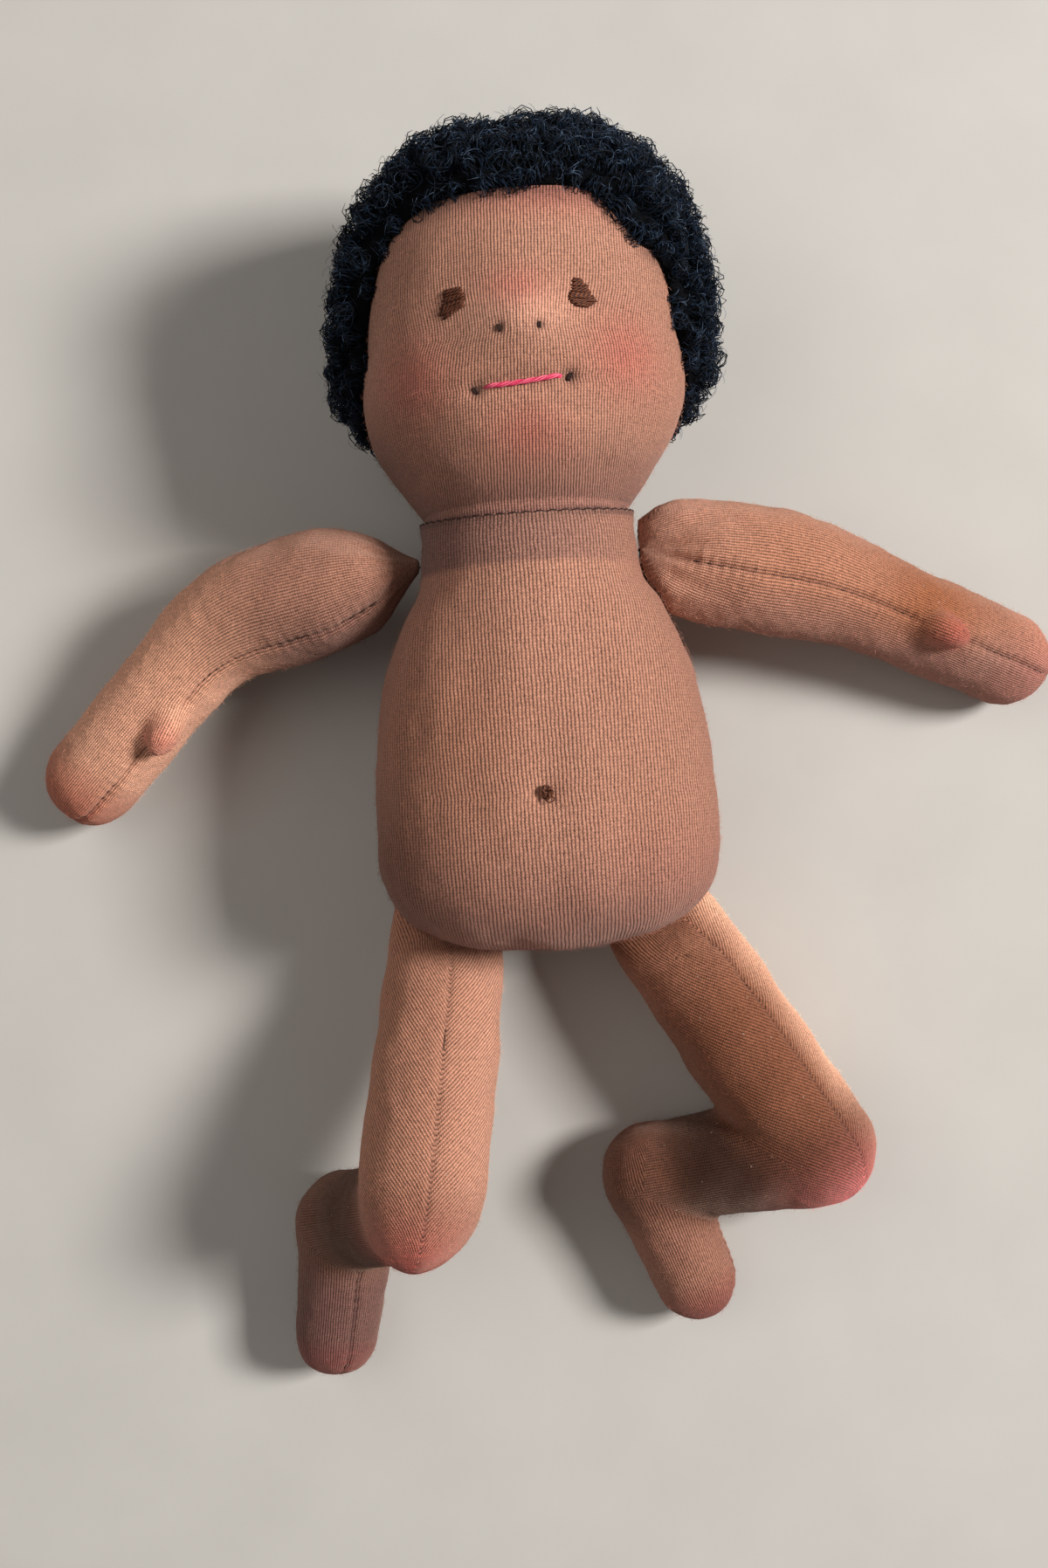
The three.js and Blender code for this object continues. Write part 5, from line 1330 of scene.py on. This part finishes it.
def eye_strands(side, edges, seed):
    """Satin strands from edge to edge of the eye, each sunk into the cloth at its ends."""
    draw = np.random.default_rng(seed)
    share = np.linspace(0, 1, EYE_STRANDS)
    ends = []
    for edge in edges:
        place = np.linspace(0, 1, len(edge))
        even = np.stack([np.interp(share, place, axis) for axis in zip(*edge)], -1)
        ends.append(even + draw.normal(0, (0.2, 0.1), (EYE_STRANDS, 2)))
    t = np.linspace(-1, 1, EYE_STEPS)
    flat = mix(ends[0][:, None], ends[1][:, None], ((t + 1) / 2)[:, None])
    x = FACE_MIDDLE + side * EYE_SPREAD + flat[..., 0]
    y = EYE_Y - 0.5 + flat[..., 1] + draw.normal(0, 0.12, (EYE_STRANDS, 1)) * (1 - t ** 2)
    rise = 0.45 * (1 - t ** 6) - 0.4 * t ** 8 + draw.normal(0, 0.13, (EYE_STRANDS, 1))
    return np.stack([x, y, face_height(x, y) + rise], -1)


for name, side in SIDES.items():
    strands = eye_strands(side, EYE_EDGES[name], 40 + side)
    thread_piece(f"eye_satin_{name}", strands, EYE_RADIUS * tapered(EYE_STEPS, 0.6), 8, "head",
                 BROWN, f"eye_{name}")
print("eye strands:", len(strands))

# %% Mouth, nostrils and the corners of the mouth
MOUTH_STEPS, MOUTH_RADIUS, MOUTH_TURNS = 90, 0.27, 1.1


def mouth_paths():
    """Three strands of floss wound about one line, which dips into the cloth at both ends."""
    t = np.linspace(-1, 1, MOUTH_STEPS)
    x = FACE_MIDDLE + (MOUTH_HALF + 0.2) * t
    y = MOUTH_Y + MOUTH_TILT * (x - FACE_MIDDLE) + 0.35 * t ** 2
    level = face_height(x, y) + 0.45 - 1.2 * np.abs(t) ** 9
    winds = [start + MOUTH_TURNS * TURN * t for start in (0, 2.1, 4.2)]
    return [np.stack([x, y + 0.24 * np.sin(wind), level + 0.2 * np.cos(wind)], -1)
            for wind in winds]


def stitch_pair(x, y, apart, length, slant, lift):
    """Two short strands side by side that dip into the cloth at both ends."""
    t = np.linspace(-1, 1, 12)
    across = x + np.array(apart)[:, None] + length / 2 * t * math.sin(slant)
    up = y + length / 2 * t * math.cos(slant) + 0 * across
    return np.stack([across, up, face_height(across, up) + lift - 0.6 * t ** 4], -1)


thread_piece("mouth_floss", mouth_paths(), MOUTH_RADIUS * tapered(MOUTH_STEPS, 0.7), 10, "head",
             (pink_floss, "pink_floss"), "mouth_thread")
for name, side in SIDES.items():
    pair = stitch_pair(FACE_MIDDLE + side * NOSTRIL_SPREAD, NOSTRIL_Y, (-0.16, 0.18),
                       1.25, side * 0.15, 0.42)
    thread_piece(f"nostril_floss_{name}", pair, 0.14, 6, "head", SEWING, f"nostril_stitch_{name}")
    corner = side * CORNER_SPREAD
    pair = stitch_pair(FACE_MIDDLE + corner, MOUTH_Y + MOUTH_TILT * corner, (-0.2, 0.2),
                       1.5, side * 0.5, 0.55)
    thread_piece(f"corner_floss_{name}", pair, 0.17, 6, "head", SEWING,
                 f"mouth_corner_stitch_{name}")
print("the mouth is", round(2 * MOUTH_HALF, 1), "mm wide")


# %% The navel's knot
def navel_paths():
    """Floss wound in a small knot, with one loose loop of it beside."""
    t = np.linspace(0, TURN, 160)
    level = torso_section(NAVEL_Y)[1] + 0.35
    wind = 0.62 + 0.3 * np.cos(3 * t)
    knot = [wind * np.cos(2 * t), NAVEL_Y + 1.4 * wind * np.sin(2 * t), level + 0.4 * np.sin(3 * t)]
    loop = [0.4 + 0.8 * np.sin(t), NAVEL_Y - 0.7 - 0.6 * (1 - np.cos(t)),
            level + 0.4 * np.sin(t / 2)]
    return np.stack(knot, -1), np.stack(loop, -1)


knot, loop = navel_paths()
thread_piece("navel_floss", [knot], 0.31, 8, "torso", BROWN, "navel_knot")
thread_piece("navel_loop", [loop], 0.13, 6, "torso", BROWN)
print("the navel's knot is", np.ptp(knot[:, 1]).round(1), "mm high")


# %% Sewing along the seams
def dashes(place, start, end, stitch, gap, lift=0.16):
    """Short dips of thread along a line: place(s, height) gives the point at a length along."""
    t = np.linspace(0, 1, 7)
    s = np.arange(start, end - stitch, stitch + gap)[:, None] + stitch * t
    return place(s, lift * np.sin(np.pi * t) ** 0.7 - 0.12)


def arm_seam(arm):
    """The seam's line on the arm at a height over its groove, in the shared frame."""
    turn, place = arm_frame(arm)

    def at(s, height):
        """The arm's own radius there, less the groove, plus the height."""
        out = np.clip((s - arm["length"] + HAND_REACH) / HAND_REACH, 0, 0.995)
        radius = arm_radius(arm, s) * (1 - out ** HAND_POWER) ** (1 / HAND_POWER)
        radius = radius + root_width(arm, s, arm["seam"]) + height
        radius = radius - SEAM_DEPTH * np.clip((s - 2) / 8, 0.3, 1) * fade(s, 0, 4)
        return arm_place(arm, s, arm["seam"], radius) @ turn.T + place
    return at


def leg_seams(leg):
    """The thigh's and the foot's seam lines in the shared frame."""
    turn, place, parts = leg_frame(leg)
    seam, point, foot = leg["seam"], leg["point"], parts[2]
    from_level = seam - leg["roll"]

    def on_thigh(s, height):
        """Along the thigh's flattened tube and round the knee's end."""
        thin, wide = thigh_girth(s / THIGH)
        body = 1 / np.hypot(math.sin(from_level) / wide, math.cos(from_level) / thin)
        out = np.clip((s - THIGH - KNEE_REACH) / leg["knee_reach"] + 1, 0, 0.99)
        r = body * (1 - out ** point) ** (1 / point) - 0.5 + height
        return np.stack([s, r * math.cos(seam), r * math.sin(seam)], -1) @ turn.T + place

    def on_foot(s, height):
        """Along the foot's own line and round the toe's end."""
        out = np.clip((s - FOOT) / TOE_RADIUS, 0, 0.99)
        r = mix(*foot["radii"], fade(s, 0, FOOT)) * np.sqrt(1 - out ** 2) - 0.8 + height
        local = foot["start"] + s[..., None] * foot["way"] + r[..., None] * foot["up"]
        return local @ turn.T + place
    return on_thigh, on_foot


print("dashes in 20 mm:", len(dashes(lambda s, height: s, 0, 20, 1.3, 0.9)))

# %% Dashes on the arms and legs
for name, arm in ARMS.items():
    at, thumb = arm_seam(arm), THUMB_SHARE * arm["length"]
    paths = np.concatenate([dashes(at, 7, thumb - 5, 1.3, 0.9),
                            dashes(at, thumb + 6, arm["length"] - 1.2, 1.0, 0.8)])
    thread_piece(f"arm_stitches_{name}", paths, 0.11, 6, f"arm_{name}", SEWING,
                 f"arm_seam_thread_{name}")
    print("stitches on the arm:", len(paths))

for name, leg in LEGS.items():
    on_thigh, on_foot = leg_seams(leg)
    paths = dashes(on_thigh, 8, THIGH + KNEE_REACH * 0.8, 1.7, 0.1, lift=0.12)
    thread_piece(f"thigh_stitches_{name}", paths, 0.1, 6, f"leg_{name}", SEWING,
                 f"thigh_seam_thread_{name}")
    paths = dashes(on_foot, 9, FOOT + TOE_RADIUS * 0.9, 1.7, 0.3)
    thread_piece(f"foot_stitches_{name}", paths, 0.12, 6, f"leg_{name}", SEWING,
                 f"foot_seam_thread_{name}")


# %% Thread that holds the neck and the limbs
def whip_paths():
    """One stitch over each scallop of the band's hem, from the band in to the neck."""
    count = round(TURN * BAND_RADIUS / SCALLOP)
    t = np.linspace(-1, 1, 12)
    turn = (np.arange(count)[:, None] + 0.5 + 0.42 * t) * SCALLOP / BAND_RADIUS
    radius = NECK_RADIUS + 0.35 + 0.6 * np.sqrt(1 - (t * 0.9) ** 2)
    y = BAND_TOP + hem_tilt(turn) + 0.3 + 0.35 * (1 - t ** 2)
    return np.stack([radius * np.cos(turn), y, NECK_HEIGHT + radius * np.sin(turn)], -1)


def loops_between(start, way, seed, reach, spread, count=9):
    """A few turns of thread that leave one cloth and enter the other."""
    draw = np.random.default_rng(seed)
    first = unit(np.cross(way, (0.3, 0.2, 1)))
    t = np.linspace(0, 1, 16)
    angle = draw.uniform(0, TURN, count)[:, None] + t * draw.uniform(0.4, 1.6, (count, 1))
    wide = draw.uniform(0.4, 1, (count, 1)) * spread * (0.8 + 0.4 * np.sin(np.pi * t))
    return led_off(start, ((2 * t - 1) * reach, way), (wide * np.cos(angle), first),
                   (wide * np.sin(angle), np.cross(way, first)))


whips = whip_paths()
print("stitches round the neck:", len(whips))
thread_piece("neck_stitches", whips, 0.22, 6, "torso", SEWING, "neck_seam_thread",
             reference=(0, 1, 0))
for name, side in SIDES.items():
    turn, place = arm_frame(ARMS[name])
    way = side * turn[:, 0]
    loops = loops_between(place - way * STANDOFF, way, 50 + side, 1.0, 0.75)
    thread_piece(f"shoulder_loops_{name}", loops, 0.14, 5, f"shoulder_thread_{name}_body", SEWING,
                 f"shoulder_thread_{name}")
    turn, place, _ = leg_frame(LEGS[name])
    way = turn[:, 0]
    loops = loops_between(place - way * STANDOFF, way, 60 + side, 0.6, 0.4)
    thread_piece(f"hip_loops_{name}", loops, 0.14, 5, f"hip_thread_{name}_body", SEWING,
                 f"hip_thread_{name}")

# %% [markdown]
# ## The hair
# The wig is boucle mohair: a dark cap thick with small loops and loose fine hairs. Particle hair
# would need its own system, so the loops are thin helical tubes placed over the cap by its own
# two coordinates, turn and share of the way down to its edge.

# %% Where the hair lies
HAIR_DEPTH, HAIR_CROWN_DEPTH, HAIR_BACK_DEPTH = 7.8, 4.2, 6.5
HEAD_QUARTER = HEAD_HALF * math.pi / 2


def hair_point(angle, share, lift):
    """A point over the head: share 0 is the crown, 1 the hair's edge."""
    edge = hair_edge(angle)
    out = fade(edge, HEAD_MIDDLE, CROWN - HEAD_MIDDLE)
    below, above = (HEAD_MIDDLE - edge) / HEAD_QUARTER, np.arccos(out ** (CROWN_POWER / 2))
    down = share * np.where(edge < HEAD_MIDDLE, 1 + below, above / (np.pi / 2))
    turn, past = np.minimum(1, down) * np.pi / 2, np.maximum(0, down - 1)
    reach = np.cos(turn) ** (2 / CROWN_POWER)
    y = np.where(down < 1, mix(HEAD_MIDDLE, CROWN, reach), HEAD_MIDDLE - past * HEAD_QUARTER)
    lean, half, front, back = head_section(np.minimum(y, CROWN - 1e-6))
    normal = unit(np.stack([np.cos(angle) * np.sin(turn), np.cos(turn) - 0.3 * past,
                            np.sin(angle) * np.sin(turn)], -1))
    skin = np.stack([lean + half * np.cos(angle), y,
                     (front + back) / 2 + (front - back) / 2 * np.sin(angle)], -1)
    return skin + normal * np.asarray(lift)[..., None], normal


def hair_depth(angle, share):
    """How thick the hair lies, with a rounded edge and less under the head's back."""
    grown = np.minimum(1, 1.6 * share)
    full = mix(HAIR_CROWN_DEPTH, HAIR_DEPTH, np.abs(np.cos(angle)) * grown)
    full = mix(full, HAIR_BACK_DEPTH, (np.maximum(0, -np.sin(angle)) * grown) ** 2)
    return full * np.sqrt(1 - fade(share, 0.85, 0.15) ** 2)


print("the hair's depth at one side:", hair_depth(0, 0.6).round(1))

# %% Tufts over the cap
TUFT_GAP, TUFT_TRIES = 2.95, 9000


def tuft_seats(gap, seed):
    """Middles of the tufts: random places over the cap, each kept a gap from those before it."""
    draw = np.random.default_rng(seed)
    angle = draw.uniform(0, TURN, TUFT_TRIES)
    share = np.sqrt(draw.uniform(0, 1, TUFT_TRIES)) * 1.004
    places, _ = hair_point(angle, share, 3)
    kept = []
    for k, place in enumerate(places):
        if not kept or ((places[kept] - place) ** 2).sum(1).min() > gap ** 2:
            kept.append(k)
    return angle[kept], share[kept]


tuft_angle, tuft_share = tuft_seats(TUFT_GAP, 5)
tuft_draw = np.random.default_rng(6)
tuft_size = tuft_draw.uniform(1.9, 3.0, len(tuft_angle))
tuft_lift = np.maximum(hair_depth(tuft_angle, np.minimum(tuft_share, 1)) - 2.4, 0.4)
tuft_lift += tuft_draw.uniform(-0.5, 1.0, len(tuft_angle))
tuft_centre, tuft_normal = hair_point(tuft_angle, tuft_share, tuft_lift)
print("tufts:", len(tuft_angle))

# %% The cap under the curls
CAP_COLUMNS, CAP_RINGS, LINING_RINGS, LINING_LIFT = 300, 130, 34, 0.35
CAP_SHARE, TUFT_SWELL, CAP_NAP, CAP_EDGE = 0.42, 1.7, (0.15, 1.6), 0.06


def build_hair_base():
    """The cap's outside swells over each tuft. It folds over at its edge and runs back under on
    the head's skin."""
    angle = TURN * np.arange(CAP_COLUMNS)[None] / CAP_COLUMNS
    outer = np.linspace(0.012, 0.999, CAP_RINGS)[:, None]
    share = np.concatenate([outer, np.linspace(0.985, 0.05, LINING_RINGS)[:, None]])
    lift = hair_depth(angle, share) * CAP_SHARE
    lift[CAP_RINGS:] = LINING_LIFT
    rows, normal = hair_point(angle, share, lift)
    shown = rows[:CAP_RINGS]
    swell = np.zeros(shown.shape[:2])
    for centre, size in zip(tuft_centre, tuft_size):
        swell = np.maximum(swell, bell(np.linalg.norm(shown - centre, axis=-1), size))
    nap, fineness = CAP_NAP
    swell = TUFT_SWELL * swell + nap * lumps(shown, fineness, seed=73, waves=40)
    shown += normal[:CAP_RINGS] * (swell * fade(-outer, -1, CAP_EDGE))[..., None]
    return make_piece("hair_base", *capped_rings(lying_flat(rows, 0.1)))


print("points of the cap's outside:", CAP_RINGS * CAP_COLUMNS)


# %% Mohair as a material
def hair_material(name, dark, light, rough, sheen):
    """Each hair varies from dark to a blue-grey sheen by noise along the head."""
    material, tree, shader, place = new_material(
        name, Roughness=rough, Specular_IOR_Level=0.12, Sheen_Weight=sheen,
        Sheen_Tint=(0.5, 0.56, 0.72, 1))
    shade = noise(tree, place, 900, 4)
    set_inputs(tree, shader, Base_Color=ramp(tree, shade, 0.42, dark, 0.72, light))
    add_bump(tree, shader, shade, 0.8, 0.0004)
    return material


hair_dark = hair_material("mohair base", linear(2, 3, 5), linear(6, 8, 13), 1.0, 0.0)
hair_curl = hair_material("mohair curls", linear(3, 6, 11), linear(26, 44, 66), 0.55, 0.04)
hair_fine = hair_material("mohair flyaways", linear(34, 48, 68), linear(120, 140, 168), 0.4, 0.1)
base = dress(build_hair_base(), hair_dark, "head", "mohair", "wig_cap")
print("cap faces:", len(base.data.polygons))

# %% Curls and loose hairs
HAIR_PIECES, STRANDS_EACH, CURL_STEPS, CURL_RADIUS = 5, 21, 10, 0.12
LOOSE_HAIRS, LOOSE_STEPS, LOOSE_RADIUS = 3400, 7, 0.042


def tuft_curls(which, seed):
    """Ringlets round each tuft: a strand winds about an axis that lies along the head."""
    draw = np.random.default_rng(seed)
    at = np.repeat(which, STRANDS_EACH)
    centre, normal, size = tuft_centre[at], tuft_normal[at], tuft_size[at][:, None]
    each = lambda low, high: draw.uniform(low, high, (len(at), 1))
    lean = np.repeat(draw.normal(size=(len(which), 3)), STRANDS_EACH, 0)
    axis = unit(np.cross(normal, lean) + 0.6 * draw.normal(size=centre.shape) + 0.2 * normal)
    first = unit(np.cross(axis, normal))
    t = np.linspace(0, 1, CURL_STEPS)
    phase = each(0, TURN) + TURN * each(0.55, 1.35) * t
    radius = size * each(0.35, 1.0) * (1 + 0.22 * np.sin(phase * 2.3 + each(0, 6)))
    travel = size * (each(-0.8, 0.8) + (t - 0.5) * each(-0.9, 0.9))
    path = led_off(centre, (radius * np.cos(phase), first),
                   (radius * np.sin(phase), np.cross(axis, first)), (travel, axis))
    return lying_flat(path, 0.3)


def loose_hairs(seed):
    """Fine single hairs that arch out of the tufts and curl back."""
    draw = np.random.default_rng(seed)
    each = lambda low, high: draw.uniform(low, high, (LOOSE_HAIRS, 1))
    pick = draw.integers(0, len(tuft_centre), LOOSE_HAIRS)
    normal = unit(tuft_normal[pick] + 0.5 * draw.normal(size=(LOOSE_HAIRS, 3)))
    first = unit(np.cross(normal, draw.normal(size=(LOOSE_HAIRS, 3))))
    seat = tuft_centre[pick] + normal * tuft_size[pick][:, None] * each(0.3, 0.8)
    t = np.linspace(0, 1, LOOSE_STEPS)
    bend, reach = each(0.8, 2.6), each(1.2, 3.4)
    out = reach * 0.4 * np.sin(np.minimum(bend * t * 1.4, 3.0))
    ahead = reach * np.sin(bend * t) - reach * 0.4
    hand = draw.choice([-1, 1], (LOOSE_HAIRS, 1))
    aside = reach * 0.6 * (1 - np.cos(bend * t * 1.3)) * hand
    path = led_off(seat, (out, normal), (ahead, first), (aside, np.cross(normal, first)))
    return lying_flat(path, 0.3)


print("strands of curls:", STRANDS_EACH * len(tuft_angle))


# %% Hair as pieces
def hair_piece(name, paths, radius, material):
    """Three-sided tubes as one piece of hair on the head."""
    points, faces, _ = tubes(paths, radius, 3, (0.31, 0.52, 0.8))
    return dress(make_piece(name, points, faces), material, "head", "mohair")


for k in range(HAIR_PIECES):
    paths = tuft_curls(np.arange(k, len(tuft_angle), HAIR_PIECES), 100 + k)
    radius = CURL_RADIUS * tapered(CURL_STEPS, 0.3)
    curls = hair_piece(f"hair_curls_{k + 1}", paths, radius, hair_curl)
radius = LOOSE_RADIUS * tapered(LOOSE_STEPS, 0.3)
loose = hair_piece("hair_flyaways", loose_hairs(200), radius, hair_fine)
print("faces in one curl piece:", len(curls.data.polygons))
print("faces of loose hairs:", len(loose.data.polygons))

# %% [markdown]
# ## Fuzz on the cloth
# Worn cotton has a nap of short loose fibres that shows as a soft edge all round. Fur would be
# the usual tool; here each fibre is a thin bent tube that starts at a random place on the cover.

# %% Short fibres over a cover
FIBRE_RADII = 0.024 * np.array([1, 0.8, 0.35])
FIBRE_SIDES, FIBRE_FLOOR = 3, 1.5


def build_fuzz(cover, count, seed):
    """Roots are even by area. A fibre leaves along the cloth's normal and bends over sideways."""
    mesh, draw = cover.data, np.random.default_rng(seed)
    p = read_mesh(mesh.vertices, "co", 3).astype(float) / MM
    colour = read_mesh(mesh.attributes["tint"].data, "color", 4)[:, :3]
    start = read_mesh(mesh.polygons, "loop_start", kind=np.int32)
    corner = read_mesh(mesh.loops, "vertex_index", kind=np.int32)
    shown = read_mesh(mesh.polygons, "area") * (p[corner[start], 2] > FIBRE_FLOOR)
    face = draw.choice(len(shown), count, p=shown / shown.sum())
    a, b, c = (p[corner[start[face] + k]] for k in range(3))
    u, v = draw.uniform(0, 1, (2, count, 1))
    root = a + (b - a) * u * 0.9 + (c - b) * v * u * 0.9
    out = read_mesh(mesh.polygons, "normal", 3)[face].astype(float)
    aside = unit(np.cross(out, draw.normal(size=(count, 3))))
    length = draw.uniform(0.45, 1.4, (count, 1))
    t = np.linspace(0, 1, len(FIBRE_RADII))
    path = led_off(root, (length * (t - 0.35 * t * t) - 0.1, out), (length * 0.9 * t * t, aside))
    points, faces, _ = tubes(lying_flat(path, 0.1), FIBRE_RADII, FIBRE_SIDES, (0.3, 0.5, 0.81))
    # Fibres are 1.6 times as light as the cloth under them: painted light for fibres that catch the
    # lamp.
    tint = np.repeat(colour[corner[start[face]]], len(t) * FIBRE_SIDES, 0) * 1.6
    return make_piece(cover.name.replace("cover", "fuzz"), points, faces, tint=tint)


def fuzz_material():
    """The fibre's tint, the cloth's made lighter as painted light, lighter and darker by noise from
    fibre to fibre.
    """
    material, tree, shader, place = new_material("cotton fuzz", Roughness=0.8,
                                                 Specular_IOR_Level=0.2)
    shade = math_node(tree, "MULTIPLY_ADD", noise(tree, place, 900), 1.2, 0.5)
    colour = colour_times(tree, read_attribute(tree, "Attribute", "tint"), shade)
    set_inputs(tree, shader, Base_Color=colour)
    return material


cotton_fuzz = fuzz_material()
FUZZ = [("torso_cover", "torso", 9500, "torso_knit"), ("head_cover", "head", 7000, "head_knit")]
for name in SIDES:
    FUZZ += [(f"arm_cover_{name}", f"arm_{name}", 3400, "limb_knit"),
             (f"leg_cover_{name}", f"leg_{name}", 3900, "limb_knit")]
for k, (cover_name, body, count, slot) in enumerate(FUZZ):
    dress(build_fuzz(bpy.data.objects[cover_name], count, 300 + k), cotton_fuzz, body, slot)
print("fibres:", sum(row[2] for row in FUZZ))

# %% [markdown]
# ## What lies inside
# The stuffing, the core and its strings stay as the frame's own solids, but for the legs' wool,
# which follows the shaped covers. They never show, but each gets its stuff, so a cut-open doll
# would look right.


# %% Wool and string inside
def wool_material():
    """Carded wool: soft pale clumps with fine crossing fibres."""
    material, tree, shader, place = new_material("carded wool", Roughness=0.95)
    clump, fine = (noise(tree, place, scale, 4) for scale in (160, 1500))
    both = math_node(tree, "MULTIPLY", math_node(tree, "ADD", clump, fine), 0.5)
    wool = ramp(tree, both, 0.35, linear(206, 190, 162), 0.65, linear(240, 232, 214))
    set_inputs(tree, shader, Base_Color=wool)
    add_bump(tree, shader, both, 1.0, 0.0006)
    return material


carded_wool = wool_material()
inside = {"torso_stuffing": carded_wool, "head_core": carded_wool, "neck_string": plain_string,
          "eye_line_string": plain_string}
for name, wool in leg_wool.items():
    inside[f"arm_stuffing_{name}"] = carded_wool
    dress(wool, carded_wool, f"leg_{name}", "wool_stuffing", f"leg_stuffing_{name}")
for node_name, stuff in inside.items():
    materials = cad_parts[node_name].data.materials
    if not materials:
        materials.append(stuff)
    for k in range(len(materials)):
        materials[k] = stuff
print("inside solids:", len(inside))

# %% [markdown]
# ## Floor, light and camera
# The doll lies on a pale sheet of paper under a large window-like light. The camera looks
# straight down, as in the photograph, where a real one was about 38 cm above.

# %% Floor
FLOOR_HALF, FLOOR_DROP = 6000, 0.02


def floor_material():
    """Pale paper with a faint mottle."""
    material, tree, shader, place = new_material("pale floor", Roughness=0.9)
    mottle = noise(tree, place, 40, 5)
    paper = ramp(tree, mottle, 0, linear(186, 183, 178), 1, linear(196, 193, 188))
    set_inputs(tree, shader, Base_Color=paper)
    return material


corners = FLOOR_HALF * np.array([[-1, -1, 0], [1, -1, 0], [1, 1, 0], [-1, 1, 0]], float)
floor = make_piece("floor", corners - (0, 0, FLOOR_DROP), [np.arange(4)[None]])
floor.data.materials.append(floor_material())
print("the floor is", 2 * FLOOR_HALF * MM, "m wide")


# %% Light
def area_light(name, place, aim, size, power, colour):
    """A square soft light that looks at a point."""
    data = bpy.data.lights.new(name, "AREA")
    data.size, data.energy, data.color = size, power, colour
    lamp = bpy.data.objects.new(name, data)
    bpy.context.scene.collection.objects.link(lamp)
    lamp.location = place
    lamp.rotation_euler = (Vector(aim) - Vector(place)).to_track_quat("-Z", "Y").to_euler()


area_light("window", (1.25, 0.2, 1.08), (0, 0, 0.02), 0.42, 38, (1.0, 0.98, 0.95))
area_light("room", (-0.5, 0.25, 0.8), (0, 0, 0.02), 0.8, 2.2, (1.0, 0.96, 0.92))
world = bpy.context.scene.world or bpy.data.worlds.new("World")
bpy.context.scene.world = world
world.use_nodes = True
sky = world.node_tree.nodes["Background"].inputs
sky["Color"].default_value, sky["Strength"].default_value = (1.0, 0.95, 0.9, 1), 0.14
bpy.context.scene.view_settings.view_transform = "Standard"
print("the sky's strength:", round(sky["Strength"].default_value, 2))

# %% Camera
camera = bpy.data.objects.new("camera", bpy.data.cameras.new("camera"))
bpy.context.scene.collection.objects.link(camera)
camera.location = (-0.0043, -0.0066, 0.380)
camera.rotation_euler = (0, 0, math.radians(-4))
camera.data.sensor_width, camera.data.lens = 36, 39.29
camera.data.clip_start = 0.01
bpy.context.scene.camera = camera
print("the camera's height in mm:", round(camera.location.z / MM))
